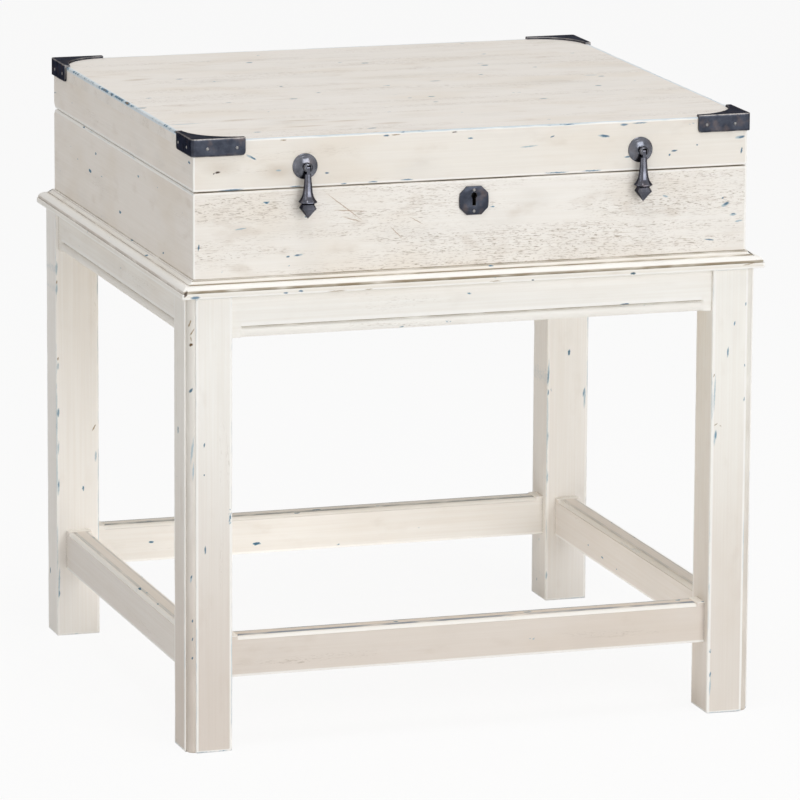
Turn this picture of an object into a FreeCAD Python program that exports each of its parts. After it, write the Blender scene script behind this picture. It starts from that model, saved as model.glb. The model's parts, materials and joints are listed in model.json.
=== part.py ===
import FreeCAD, Part
import math
import os
import re
import Sketcher

# A shallow lidded box on an open four-legged stand, used as an end table.
# Millimetres, +Z up, +X to the right, the front towards -Y, and the origin on
# the floor under the middle of the stand.

SIZES = {
    # Stand: square legs with a moulded outer corner, joined by tenons
    "stand_width": 614.0,
    "stand_depth": 566.0,
    "leg_section": 48.0,
    "leg_height": 474.5,
    "corner_bead": 9.5,
    "corner_step": 1.8,
    "tenon_clearance": 0.1,
    "tenon_end_gap": 1.0,
    "apron_height": 44.0,
    "apron_thickness": 22.0,
    "apron_recess": 4.0,
    "apron_tenon_length": 18.0,
    "apron_tenon_thickness": 8.0,
    "apron_tenon_setback": 7.0,
    "apron_tenon_shoulder": 7.0,
    "apron_bead_height": 10.0,
    "apron_bead_radius": 6.1,
    "apron_quirk_width": 1.6,
    "apron_quirk_depth": 3.0,
    "apron_moulding_stop": 9.0,
    "stretcher_lift": 75.0,
    "stretcher_height": 43.0,
    "stretcher_thickness": 26.0,
    "stretcher_recess": 11.0,
    "stretcher_tenon_length": 16.0,
    "stretcher_tenon_thickness": 10.0,
    "stretcher_tenon_setback": 8.0,
    "stretcher_tenon_shoulder": 6.0,
    "stretcher_edge_width": 6.0,
    "stretcher_edge_depth": 4.5,
    "stretcher_edge_step": 1.0,
    "stretcher_edge_radius": 4.4,
    "stretcher_moulding_stop": 8.0,
    # Rim: a mitred moulding that caps the stand and carries the box
    "rim_overhang": 6.5,
    "rim_ledge": 16.0,
    "rim_thickness": 16.5,
    "rim_width": 60.0,
    "rim_flat": 2.0,
    "rim_cove_width": 4.0,
    "rim_cove_height": 3.3,
    "rim_cove_radius": 4.4,
    "rim_step_width": 2.5,
    "rim_step_height": 1.1,
    "rim_ovolo_width": 6.5,
    "rim_ovolo_height": 5.6,
    "rim_ovolo_radius": 6.4,
    "rim_quirk_depth": 0.6,
    "rim_quirk_height": 1.0,
    # Blocks and screws that hold rim, stand and box together
    "block_reach": 55.0,
    "block_height": 32.0,
    "block_glue_gap": 0.1,
    "block_screw_along": 27.0,
    "block_screw_inward": 14.0,
    "block_screw_bite": 12.0,
    "box_screw_share": 0.8,
    "box_screw_inward": 12.0,
    "box_screw_bite": 7.0,
    "screw_radius": 2.0,
    "screw_clearance": 0.1,
    "screw_end_gap": 0.5,
    "screw_head_radius": 4.2,
    "screw_head_height": 2.4,
    # Box and lid: mitred boards of one thickness, flush on all four sides
    "wall_thickness": 19.0,
    "box_height": 89.0,
    "bottom_thickness": 10.0,
    "bottom_rabbet": 8.0,
    "bottom_clearance": 0.3,
    "seam_chamfer": 1.0,
    "lid_gap": 0.8,
    "lid_height": 52.2,
    "lid_top_thickness": 14.0,
    "lid_top_rounding": 1.2,
    "lid_opening": 100.0,
    "bumper_radius": 4.0,
    "bumper_thickness": 0.7,
    "bumper_inset": 57.5,
    # Butt hinges let into the seam, with their barrels in the bevelled back edge
    "hinge_setback": 6.0,
    "hinge_inset": 97.5,
    "hinge_length": 50.0,
    "hinge_middle_knuckle": 22.0,
    "hinge_knuckle_gap": 0.3,
    "leaf_thickness": 1.8,
    "leaf_reach": 11.5,
    "leaf_clearance": 0.1,
    "barrel_radius": 3.2,
    "barrel_clearance": 0.4,
    "pin_radius": 1.5,
    "pin_clearance": 0.05,
    "hinge_screw_offset": 16.0,
    "hinge_screw_reach": 7.5,
    "hinge_screw_radius": 1.3,
    "hinge_screw_length": 13.0,
    "hinge_screw_head_radius": 2.4,
    "hinge_screw_head_height": 0.9,
    # Corner brackets: bent plate with a curved top flange, nailed to the lid
    "bracket_length": 54.5,
    "bracket_drop": 16.0,
    "bracket_metal": 2.4,
    "bracket_end": 4.0,
    "bracket_corner_radius": 3.0,
    "bracket_end_radius": 3.5,
    "bracket_nail_near": 14.5,
    "bracket_nail_far": 45.5,
    "bracket_nail_drop": 8.0,
    "nail_radius": 0.9,
    "nail_length": 12.0,
    "nail_clearance": 0.05,
    "nail_head_radius": 1.7,
    "nail_head_height": 0.9,
    # Pulls: a ringed rosette, a slotted post and a faceted drop on a pin
    "pull_inset": 117.5,
    "pull_height": 21.6,
    "rosette_radius": 13.2,
    "rosette_edge": 1.2,
    "rosette_ring_width": 2.4,
    "rosette_ring_rise": 1.1,
    "rosette_ring_radius": 2.0,
    "rosette_groove": 0.5,
    "rosette_dome_height": 5.0,
    "rosette_dome_radius": 11.0,
    "rosette_boss_radius": 4.4,
    "post_radius": 2.5,
    "post_clearance": 0.1,
    "post_collar_radius": 4.0,
    "post_collar_height": 1.0,
    "post_stem_radius": 3.2,
    "post_knob_radius": 5.0,
    "post_tail": 5.0,
    "pivot_reach": 10.5,
    "slot_width": 4.2,
    "slot_rise": 3.2,
    "nut_across": 8.0,
    "nut_thickness": 4.0,
    "tang_thickness": 3.6,
    "tang_radius": 2.6,
    "pivot_pin_radius": 0.9,
    "pivot_pin_length": 8.4,
    "pivot_clearance": 0.06,
    "neck_below": 6.4,
    "neck_across": 6.2,
    "shaft_below": 18.0,
    "shaft_across": 7.8,
    "swell_below": 26.5,
    "swell_across": 9.8,
    "flare_below": 31.5,
    "flare_across": 13.4,
    "collar_below": 34.4,
    "collar_across": 17.8,
    "collar_edge": 1.0,
    "waist_below": 37.2,
    "waist_across": 14.6,
    "point_below": 41.8,
    "point_across": 17.6,
    "tip_below": 52.0,
    "tip_across": 0.8,
    # Lock plate on the box front
    "plate_width": 30.0,
    "plate_height": 29.5,
    "plate_clip": 7.1,
    "plate_bow_radius": 45.0,
    "plate_thickness": 1.8,
    "plate_below": 21.6,
    "key_radius": 3.3,
    "key_slot": 3.8,
    "key_rise": 5.2,
    "key_length": 10.5,
    "key_depth": 9.0,
    "plate_nail_offset": 11.0,
}

# Sizes that follow from the ones above, written in their words
DERIVED = {
    "rim_outer_width": "stand_width + 2 * rim_overhang",
    "rim_outer_depth": "stand_depth + 2 * rim_overhang",
    "rim_top": "leg_height + rim_thickness",
    "box_width": "rim_outer_width - 2 * rim_ledge",
    "box_depth": "rim_outer_depth - 2 * rim_ledge",
    "box_top": "rim_top + box_height",
    "lid_base": "box_top + lid_gap",
    "lid_wall_height": "lid_height - lid_top_thickness",
    "lid_top_face": "lid_base + lid_height",
    "apron_base": "leg_height - apron_height",
    "apron_tenon_height": "apron_height - 2 * apron_tenon_shoulder",
    "stretcher_tenon_height": "stretcher_height - 2 * stretcher_tenon_shoulder",
    "apron_inner_face": "apron_recess + apron_thickness",
    "screw_hole": "screw_radius + screw_clearance",
    "nail_hole": "nail_radius + nail_clearance",
    "post_hole": "post_radius + post_clearance",
    "stop_bevel_drop": "hinge_setback * tan(lid_opening * 1deg / 2)",
    "hinge_axis_y": "box_depth / 2 - hinge_setback",
    "hinge_axis_z": "box_top + lid_gap / 2",
    "barrel_room": "barrel_radius + barrel_clearance",
    "barrel_cut": "barrel_room - lid_gap / 2",
    "side_knuckle": "(hinge_length - hinge_middle_knuckle) / 2 - hinge_knuckle_gap",
    "pin_bore": "pin_radius + pin_clearance",
    "hinge_screw_hole": "hinge_screw_radius + screw_clearance",
    "pull_axis_z": "lid_base + pull_height",
    "plate_axis_z": "box_top - plate_below",
    "block_screw_x": "leg_section + block_screw_along",
    "block_screw_y": "apron_inner_face + block_screw_inward",
    "box_screw_line": "rim_overhang + apron_inner_face + box_screw_inward",
    "box_screw_x": "box_screw_share * (stand_width / 2 - leg_section - block_reach)",
    "box_screw_y": "box_screw_share * (stand_depth / 2 - leg_section - block_reach)",
    "hinge_offset": "box_width / 2 - hinge_inset",
    "pull_offset": "box_width / 2 - pull_inset",
    "bumper_offset": "box_width / 2 - bumper_inset",
}

DROP_FLATS = 8
UP = FreeCAD.Vector(0, 0, 1)
doc = FreeCAD.newDocument("lift_top_end_table")
sheet = doc.addObject("Spreadsheet::Sheet", "Sizes")
nodes = []


def expr(text):
    """Turn a size written in plain names into an expression on the sheet."""

    def word(match):
        name = match.group(0)
        if name in DERIVED:
            return "(" + expr(DERIVED[name]) + ")"
        return "Sizes." + name if name in SIZES else name

    return re.sub(r"[a-z_]+", word, text)


def value(text):
    return float(sheet.evalExpression(expr(text)))


def bind(thing, settings):
    for name, text in settings.items():
        thing.setExpression(name, expr(text))


def place(thing, x, y, z, turn=0, axis=UP):
    """Turn a piece about its own origin, then set that origin at x, y, z."""
    thing.Placement = FreeCAD.Placement(FreeCAD.Vector(), FreeCAD.Rotation(axis, turn))
    bind(thing, {"Placement.Base.x": x, "Placement.Base.y": y, "Placement.Base.z": z})


def keep(thing, label):
    thing.Label = label
    nodes.append(thing)
    return thing


def new_body(label):
    return keep(doc.addObject("PartDesign::Body", label), label)


def new_sketch(body, role, height="0"):
    sketch = body.newObject("Sketcher::SketchObject", body.Name + "_sketch")
    plane = [item for item in body.Origin.OriginFeatures if item.Role == role][0]
    sketch.AttachmentSupport = [(plane, "")]
    sketch.MapMode = "FlatFace"
    bind(sketch, {"AttachmentOffset.Base.z": height})
    return sketch


def pin_point(sketch, edge, end, x, y):
    """Hold a point of the sketch at x, y, each a size in words."""
    for axis, kind, text in ((-2, "DistanceX", x), (-1, "DistanceY", y)):
        if text == "0":
            sketch.addConstraint(Sketcher.Constraint("PointOnObject", edge, end, axis))
            continue
        rule = Sketcher.Constraint(kind, -1, 1, edge, end, value(text))
        bind(sketch, {"Constraints[%d]" % sketch.addConstraint(rule): text})


def arc_between(start, end, radius):
    """The lesser arc from start to end, counter-clockwise where radius is above zero."""
    chord = end - start
    rise = math.sqrt(radius ** 2 - (chord.Length / 2) ** 2)
    side = FreeCAD.Vector(-chord.y, chord.x, 0).normalize()
    centre = (start + end) / 2 + side * math.copysign(rise, radius)
    angles = [math.atan2(point.y - centre.y, point.x - centre.x) for point in (start, end)]
    if radius < 0:
        angles.reverse()
    return Part.ArcOfCircle(Part.Circle(centre, UP, abs(radius)), *angles)


def outline(body, role, corners, height="0", sketch=None):
    """A closed outline; a corner is x, y and, where an arc leads on to the next, its radius.

    The radius is followed by + or -, for an arc that turns left or right.
    """
    sketch = sketch or new_sketch(body, role, height)
    points = [FreeCAD.Vector(value(c[0]), value(c[1]), 0) for c in corners]
    first = sketch.GeometryCount
    starts = []
    for index, corner in enumerate(corners):
        begin = points[index]
        finish = points[(index + 1) % len(points)]
        if len(corner) == 2:
            sketch.addGeometry(Part.LineSegment(begin, finish))
            starts.append(1)
            continue
        sign = 1 if corner[3] == "+" else -1
        edge = sketch.addGeometry(arc_between(begin, finish, sign * value(corner[2])))
        rule = Sketcher.Constraint("Radius", edge, value(corner[2]))
        bind(sketch, {"Constraints[%d]" % sketch.addConstraint(rule): corner[2]})
        starts.append(1 if sign > 0 else 2)
    for index, corner in enumerate(corners):
        before = (index - 1) % len(corners)
        ends = (first + before, 3 - starts[before], first + index, starts[index])
        sketch.addConstraint(Sketcher.Constraint("Coincident", *ends))
        pin_point(sketch, first + index, starts[index], corner[0], corner[1])
    return sketch


def rectangle(left, right, low, high):
    return [(left, low), (right, low), (right, high), (left, high)]


def circle(body, role, x, y, radius, height="0", sketch=None):
    sketch = sketch or new_sketch(body, role, height)
    centre = FreeCAD.Vector(value(x), value(y), 0)
    edge = sketch.addGeometry(Part.Circle(centre, UP, value(radius)))
    rule = Sketcher.Constraint("Radius", edge, value(radius))
    bind(sketch, {"Constraints[%d]" % sketch.addConstraint(rule): radius})
    pin_point(sketch, edge, 3, x, y)
    return sketch


def solid_feature(body, kind, sketch, length, both_ways, reverse):
    feature = body.newObject(kind, body.Name + "_step")
    feature.Profile = sketch
    feature.Reversed = reverse
    if both_ways:
        feature.SideType = "Symmetric"
    bind(feature, {"Length": length})
    return feature


def pad(body, sketch, length, both_ways=False, reverse=False):
    feature = solid_feature(body, "PartDesign::Pad", sketch, length, both_ways, reverse)
    doc.recompute()
    return feature


def pocket(body, sketch, length, both_ways=False, reverse=False):
    before = body.Shape.Volume
    feature = solid_feature(body, "PartDesign::Pocket", sketch, length, both_ways, reverse)
    doc.recompute()
    if not body.Shape.Volume < before:
        raise RuntimeError(body.Label + ": a cut took nothing away")
    return feature


def revolve(body, sketch):
    feature = body.newObject("PartDesign::Revolution", body.Name + "_turned")
    feature.Profile = sketch
    feature.ReferenceAxis = (sketch, ["V_Axis"])
    feature.Angle = 360
    doc.recompute()
    return feature


def fillet(body, base, radius, wanted):
    """Round the edges of the last feature that the test named wanted picks out."""
    names = ["Edge%d" % n for n, edge in enumerate(base.Shape.Edges, 1) if wanted(edge)]
    feature = body.newObject("PartDesign::Fillet", body.Name + "_rounding")
    feature.Base = (base, names)
    bind(feature, {"Radius": radius})
    doc.recompute()
    return feature


def primitive(kind, name, settings):
    thing = doc.addObject("Part::" + kind, name)
    bind(thing, settings)
    return thing


def group(label, pieces):
    thing = doc.addObject("Part::Compound", label)
    thing.Links = pieces
    return keep(thing, label)


def turned_fastener(name, shank, length, head, head_height, domed=False):
    """A nail or screw along +Z: the head stands below z = 0, the shank above it."""
    body = doc.addObject("PartDesign::Body", name)
    rim = "0.35 * " + head_height if domed else head_height
    low = [(head, "0"), (head, "-" + rim), ("0.6 * " + head, "-" + head_height)]
    profile = [("0", "-" + head_height), ("0", length), (shank, length), (shank, "0")]
    profile += low if domed else low[:2]
    revolve(body, outline(body, "XY_Plane", profile))
    return body


def stand_up(fastener, x, y, z):
    """Set a turned fastener, whose axis is its own Y, upright with its head down."""
    place(fastener, x, y, z, 90, FreeCAD.Vector(1, 0, 0))


# The four sides of a rectangular frame, and the turn that brings a member,
# modelled with its length on X and its outer face at y = 0, to each of them
SIDES = {"front": 0, "right": 90, "back": 180, "left": 270}
CORNERS = {"front_left": 0, "front_right": 90, "back_right": 180, "back_left": 270}


def along(side, width, depth):
    return width if side in ("front", "back") else depth


def place_side(thing, side, width, depth, z):
    x = {"left": "-(%s) / 2" % width, "right": "(%s) / 2" % width}.get(side, "0")
    y = {"front": "-(%s) / 2" % depth, "back": "(%s) / 2" % depth}.get(side, "0")
    place(thing, x, y, z, SIDES[side])


def place_corner(thing, corner, width, depth, z):
    x = "(%s) / 2" % width if "right" in corner else "-(%s) / 2" % width
    y = "(%s) / 2" % depth if "back" in corner else "-(%s) / 2" % depth
    place(thing, x, y, z, CORNERS[corner])


def make_leg(corner):
    """A square leg; its outer corner is an ovolo between two small steps."""
    leg = new_body("leg_" + corner)
    pad(leg, outline(leg, "XY_Plane", [
        ("corner_bead", "0"),
        ("leg_section", "0"),
        ("leg_section", "leg_section"),
        ("0", "leg_section"),
        ("0", "corner_bead"),
        ("corner_step", "corner_bead", "corner_bead - corner_step", "+"),
        ("corner_bead", "corner_step"),
    ]), "leg_height")
    for rail, base in (("apron", "apron_base"), ("stretcher", "stretcher_lift")):
        near = f"{rail}_recess + {rail}_tenon_setback - tenon_clearance"
        far = f"{rail}_recess + {rail}_tenon_setback + {rail}_tenon_thickness + tenon_clearance"
        deep = f"leg_section - {rail}_tenon_length - tenon_end_gap"
        top = f"{base} + {rail}_tenon_shoulder + {rail}_tenon_height + tenon_clearance"
        mortise = outline(leg, "XY_Plane", rectangle(deep, "leg_section", near, far), top)
        outline(leg, "XY_Plane", rectangle(near, far, deep, "leg_section"), top, mortise)
        pocket(leg, mortise, f"{rail}_tenon_height + 2 * tenon_clearance")
    place_corner(leg, corner, "stand_width", "stand_depth", "0")


def make_rail(rail, side, base):
    """A board between two legs with a tenon at each end."""
    body = new_body(f"{rail}_{side}")
    span = "%s - 2 * leg_section" % along(side, "stand_width", "stand_depth")
    tenon = rectangle(f"{rail}_tenon_setback", f"{rail}_tenon_setback + {rail}_tenon_thickness",
                      f"{rail}_tenon_shoulder", f"{rail}_height - {rail}_tenon_shoulder")
    pad(body, outline(body, "YZ_Plane", tenon), f"{span} + 2 * {rail}_tenon_length", True)
    board = rectangle("0", f"{rail}_thickness", "0", f"{rail}_height")
    pad(body, outline(body, "YZ_Plane", board), span, True)
    place_side(body, side, f"stand_width - 2 * {rail}_recess",
               f"stand_depth - 2 * {rail}_recess", base)
    return body, f"{span} - 2 * {rail}_moulding_stop"


def make_apron(side):
    """The top rail; a quirk above its lower edge leaves a bead that stops short of the legs."""
    body, run = make_rail("apron", side, "apron_base")
    quirk_top = "apron_bead_height + apron_quirk_width"
    pocket(body, outline(body, "YZ_Plane", [
        ("0", "0"),
        ("0", quirk_top),
        ("apron_quirk_depth", quirk_top),
        ("apron_quirk_depth", "apron_bead_height", "apron_bead_radius", "+"),
        ("apron_quirk_depth", "0"),
    ]), run, True)


def make_stretcher(side):
    """The low rail; a stepped ovolo runs along both top edges and stops short of the legs."""
    body, run = make_rail("stretcher", side, "stretcher_lift")
    low = "stretcher_height - stretcher_edge_depth"
    high = "stretcher_height - stretcher_edge_step"
    edges = outline(body, "YZ_Plane", [
        ("0", low),
        ("stretcher_edge_step", low, "stretcher_edge_radius", "-"),
        ("stretcher_edge_width", high),
        ("stretcher_edge_width", "stretcher_height"),
        ("0", "stretcher_height"),
    ])
    outline(body, "YZ_Plane", [
        ("stretcher_thickness", low),
        ("stretcher_thickness - stretcher_edge_step", low, "stretcher_edge_radius", "+"),
        ("stretcher_thickness - stretcher_edge_width", high),
        ("stretcher_thickness - stretcher_edge_width", "stretcher_height"),
        ("stretcher_thickness", "stretcher_height"),
    ], sketch=edges)
    pocket(body, edges, run, True)


def mitre(body, length, width, thickness):
    """Cut both ends of a member at 45 degrees, from its outer corners inward."""
    cut = None
    for end in ("", "-"):
        cut = outline(body, "XY_Plane", [
            (f"{end}({length}) / 2", "0"),
            (f"{end}({length}) / 2", width),
            (f"{end}(({length}) / 2 - {width})", width),
        ], thickness, cut)
    pocket(body, cut, thickness)


def make_rim(side):
    """One mitred length of the rim moulding, from its outer edge at y = 0 inward."""
    body = new_body("rim_" + side)
    length = along(side, "rim_outer_width", "rim_outer_depth")
    cove_top = "rim_ledge - rim_flat"
    cove_foot = "rim_ledge - rim_flat - rim_cove_width"
    step_high = "rim_thickness - rim_cove_height"
    step_low = "rim_thickness - rim_cove_height - rim_step_height"
    ovolo_top = "rim_ledge - rim_flat - rim_cove_width - rim_step_width"
    ovolo_foot = ovolo_top + " - rim_ovolo_width"
    quirk_high = step_low + " - rim_ovolo_height"
    quirk_low = quirk_high + " - rim_quirk_height"
    pad(body, outline(body, "YZ_Plane", [
        ("0", "0"),
        ("rim_width", "0"),
        ("rim_width", "rim_thickness"),
        (cove_top, "rim_thickness", "rim_cove_radius", "-"),
        (cove_foot, step_high),
        (cove_foot, step_low),
        (ovolo_top, step_low, "rim_ovolo_radius", "+"),
        (ovolo_foot, quirk_high),
        (ovolo_foot + " + rim_quirk_depth", quirk_high),
        (ovolo_foot + " + rim_quirk_depth", quirk_low),
        ("0", quirk_low),
    ]), length, True)
    mitre(body, length, "rim_width", "rim_thickness")
    block_x = "block_screw_x - %s / 2" % along(side, "stand_width", "stand_depth")
    holes = circle(body, "XY_Plane", block_x, "rim_overhang + block_screw_y", "screw_hole")
    pocket(body, holes, "block_screw_bite + screw_end_gap", reverse=True)
    holes = None
    for end in ("", "-"):
        holes = circle(body, "XY_Plane", end + along(side, "box_screw_x", "box_screw_y"),
                       "box_screw_line", "screw_hole", "rim_thickness", holes)
    pocket(body, holes, "rim_thickness")
    place_side(body, side, "rim_outer_width", "rim_outer_depth", "leg_height")


def make_corner_block(corner):
    """A glue block in the angle of two aprons, notched round the leg."""
    block = new_body("corner_block_" + corner)
    leg = "leg_section + block_glue_gap"
    face = "apron_inner_face + block_glue_gap"
    far = "leg_section + block_reach"
    pad(block, outline(block, "XY_Plane", [
        (leg, face),
        (far, face),
        (face, far),
        (face, leg),
        (leg, leg),
    ]), "block_height")
    hole = circle(block, "XY_Plane", "block_screw_x", "block_screw_y", "screw_hole", "block_height")
    pocket(block, hole, "block_height")
    place_corner(block, corner, "stand_width", "stand_depth", "leg_height - block_height")


def make_block_screws():
    screws = []
    inset_x = "stand_width / 2 - block_screw_x"
    inset_y = "stand_depth / 2 - block_screw_x"
    line_x = "stand_width / 2 - block_screw_y"
    line_y = "stand_depth / 2 - block_screw_y"
    spots = [("-(%s)" % inset_x, "-(%s)" % line_y), (line_x, "-(%s)" % inset_y),
             (inset_x, line_y), ("-(%s)" % line_x, inset_y)]
    for x, y in spots:
        screw = turned_fastener("block_screw", "screw_radius", "block_height + block_screw_bite",
                                "screw_head_radius", "screw_head_height")
        stand_up(screw, x, y, "leg_height - block_height")
        screws.append(screw)
    group("block_screws", screws)


def box_screw_spots():
    line_x = "(rim_outer_width / 2 - box_screw_line)"
    line_y = "(rim_outer_depth / 2 - box_screw_line)"
    for sign in ("", "-"):
        for other in ("", "-"):
            yield sign + "box_screw_x", other + line_y
            yield other + line_x, sign + "box_screw_y"


def make_box_screws():
    screws = []
    for x, y in box_screw_spots():
        screw = turned_fastener("box_screw", "screw_radius", "rim_thickness + box_screw_bite",
                                "screw_head_radius", "screw_head_height")
        stand_up(screw, x, y, "leg_height")
        screws.append(screw)
    group("box_screws", screws)


def hinge_cuts(body, seam, upward):
    """Let both hinges into the seam edge of a back board, with pilot holes for their screws."""
    reach = "hinge_setback + leaf_reach + leaf_clearance"
    barrel = "hinge_setback + barrel_room"
    half = "(hinge_length / 2 + leaf_clearance)"
    for inner, depth in ((reach, "leaf_thickness"), (barrel, "barrel_cut")):
        cut = None
        floor = f"{seam} + {depth}" if upward else seam
        for end in ("", "-"):
            middle = f"{end}hinge_offset"
            shape = rectangle(f"{middle} - {half}", f"{middle} + {half}", "0", inner)
            cut = outline(body, "XY_Plane", shape, floor, cut)
        pocket(body, cut, depth)
    holes = None
    for end in ("", "-"):
        for screw in ("+", "-"):
            holes = circle(body, "XY_Plane", f"{end}hinge_offset {screw} hinge_screw_offset",
                           "hinge_setback + hinge_screw_reach", "hinge_screw_hole", seam, holes)
    pocket(body, holes, "leaf_thickness + hinge_screw_length", reverse=upward)


def stop_bevel(body, side, seam, upward):
    """Carry the back board's bevel through the mitred end of a side board."""
    end = "" if side == "right" else "-"
    length = "box_depth / 2"
    drop = f"{seam} + stop_bevel_drop" if upward else f"{seam} - stop_bevel_drop"
    pocket(body, outline(body, "XZ_Plane", [
        (f"{end}({length} - hinge_setback)", seam),
        (f"{end}{length}", seam),
        (f"{end}{length}", drop),
    ]), "wall_thickness")


def make_box_wall(side):
    """A box board: rabbeted below for the bottom, eased along the seam above.

    The back board has a bevel there instead, which meets the lid's and stops it.
    """
    body = new_body("box_" + side)
    length = along(side, "box_width", "box_depth")
    rabbet = "wall_thickness - bottom_rabbet"
    ease = [("seam_chamfer", "box_height"), ("0", "box_height - seam_chamfer")]
    bevel = [("hinge_setback", "box_height"), ("0", "box_height - stop_bevel_drop")]
    pad(body, outline(body, "YZ_Plane", [
        ("0", "0"),
        (rabbet, "0"),
        (rabbet, "bottom_thickness"),
        ("wall_thickness", "bottom_thickness"),
        ("wall_thickness", "box_height"),
    ] + (bevel if side == "back" else ease)), length, True)
    mitre(body, length, "wall_thickness", "box_height")
    if side == "back":
        hinge_cuts(body, "box_height", False)
    if side in ("left", "right"):
        stop_bevel(body, side, "box_height", False)
    if side == "front":
        centre = "box_height - plate_below"
        pocket(body, keyhole(body, "XZ_Plane", centre), "key_depth")
        nails = None
        for end in ("+", "-"):
            nails = circle(body, "XZ_Plane", "0", f"{centre} {end} plate_nail_offset",
                           "nail_hole", sketch=nails)
        pocket(body, nails, "nail_length")
    place_side(body, side, "box_width", "box_depth", "rim_top")


def keyhole(body, role, centre, sketch=None):
    """A round eye over a straight slot, about a height on the sketch's Y axis."""
    half = "key_slot / 2"
    eye = f"{centre} + key_rise"
    foot = f"{eye} - sqrt(key_radius ^ 2 - (key_slot / 2) ^ 2)"
    sketch = outline(body, role, [
        ("-" + half, f"{eye} - key_length"),
        (half, f"{eye} - key_length"),
        (half, foot, "key_radius", "+"),
        ("0", f"{eye} + key_radius", "key_radius", "+"),
        ("-" + half, foot),
    ], sketch=sketch)
    return sketch


def make_box_bottom():
    bottom = new_body("box_bottom")
    edge = "(wall_thickness - bottom_rabbet + bottom_clearance)"
    half_x = f"(box_width / 2 - {edge})"
    half_y = f"(box_depth / 2 - {edge})"
    pad(bottom, outline(bottom, "XY_Plane", rectangle("-" + half_x, half_x, "-" + half_y, half_y)),
        "bottom_thickness")
    holes = None
    for x, y in box_screw_spots():
        holes = circle(bottom, "XY_Plane", x, y, "screw_hole", sketch=holes)
    pocket(bottom, holes, "box_screw_bite + screw_end_gap", reverse=True)
    place(bottom, "0", "0", "rim_top")


def make_lid_wall(side):
    """A lid board, eased along the seam below; the back one has the stop's other bevel."""
    body = new_body("lid_" + side)
    length = along(side, "box_width", "box_depth")
    ease = [("0", "seam_chamfer"), ("seam_chamfer", "0")]
    bevel = [("0", "stop_bevel_drop"), ("hinge_setback", "0")]
    pad(body, outline(body, "YZ_Plane", (bevel if side == "back" else ease) + [
        ("wall_thickness", "0"),
        ("wall_thickness", "lid_wall_height"),
        ("0", "lid_wall_height"),
    ]), length, True)
    mitre(body, length, "wall_thickness", "lid_wall_height")
    if side == "back":
        hinge_cuts(body, "0", True)
    if side in ("left", "right"):
        stop_bevel(body, side, "0", True)
    if side == "front":
        posts = None
        for end in ("", "-"):
            posts = circle(body, "XZ_Plane", end + "pull_offset", "pull_height",
                           "post_hole", sketch=posts)
        pocket(body, posts, "wall_thickness")
    place_side(body, side, "box_width", "box_depth", "lid_base")


def make_lid_top():
    top = new_body("lid_top")
    board = rectangle("-box_width / 2", "box_width / 2", "-box_depth / 2", "box_depth / 2")
    base = pad(top, outline(top, "XY_Plane", board), "lid_top_thickness")
    high = value("lid_top_thickness")
    fillet(top, base, "lid_top_rounding", lambda edge: abs(edge.CenterOfMass.z - high) < 0.01)
    for role, face, length, inward in (("XZ_Plane", "box_depth / 2", "box_width", False),
                                       ("XZ_Plane", "-box_depth / 2", "box_width", True),
                                       ("YZ_Plane", "box_width / 2", "box_depth", False),
                                       ("YZ_Plane", "-box_width / 2", "box_depth", True)):
        nails = None
        for end in ("", "-"):
            for spot in ("bracket_nail_near", "bracket_nail_far"):
                nails = circle(top, role, f"{end}({length} / 2 - {spot})",
                               "lid_top_thickness - bracket_nail_drop", "nail_hole", face, nails)
        pocket(top, nails, "nail_length", reverse=inward)
    place(top, "0", "0", "lid_base + lid_wall_height")


def make_bumpers():
    """Felt dots on the seam, two on the front board and one on each side board."""
    middle = "wall_thickness / 2"
    side = f"(box_width / 2 - {middle})"
    spots = [("bumper_offset", f"-(box_depth / 2 - {middle})"),
             ("-bumper_offset", f"-(box_depth / 2 - {middle})"), (side, "0"), ("-" + side, "0")]
    dots = []
    for x, y in spots:
        dot = primitive("Cylinder", "bumper",
                        {"Radius": "bumper_radius", "Height": "bumper_thickness"})
        place(dot, x, y, "box_top")
        dots.append(dot)
    group("lid_bumpers", dots)


def make_hinge_leaf(owner, side):
    """A leaf with its knuckles about the pin, which lies on the body's X axis."""
    leaf = new_body(f"hinge_leaf_{owner}_{side}")
    low = "lid_gap / 2" if owner == "lid" else "-lid_gap / 2 - leaf_thickness"
    half = "hinge_length / 2"
    middle = "hinge_middle_knuckle / 2"
    ends = [(f"-{half}", f"-{half} + side_knuckle"), (f"{half} - side_knuckle", half)]
    runs = [(f"-{middle}", middle)] if owner == "lid" else ends
    plate = rectangle("-" + half, half, "-leaf_reach", "-barrel_room")
    pad(leaf, outline(leaf, "XY_Plane", plate, low), "leaf_thickness")
    for start, stop in runs:
        tab = rectangle(start, stop, "-barrel_room", "0")
        pad(leaf, outline(leaf, "XY_Plane", tab, low), "leaf_thickness")
        pad(leaf, circle(leaf, "YZ_Plane", "0", "0", "barrel_radius", start), f"({stop}) - ({start})")
    pocket(leaf, circle(leaf, "YZ_Plane", "0", "0", "pin_bore"), "hinge_length", True)
    # The screws' heads are sunk from the face that meets the other leaf
    seat = low if owner == "lid" else "-lid_gap / 2"
    for radius, depth in (("hinge_screw_hole", "leaf_thickness"),
                          ("hinge_screw_head_radius + screw_clearance", "hinge_screw_head_height")):
        holes = None
        for end in ("", "-"):
            holes = circle(leaf, "XY_Plane", end + "hinge_screw_offset", "-hinge_screw_reach",
                           radius, seat, holes)
        pocket(leaf, holes, depth, reverse=owner == "lid")
    place(leaf, hinge_x(side), "hinge_axis_y", "hinge_axis_z")


def hinge_x(side):
    return "-hinge_offset" if side == "left" else "hinge_offset"


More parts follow.
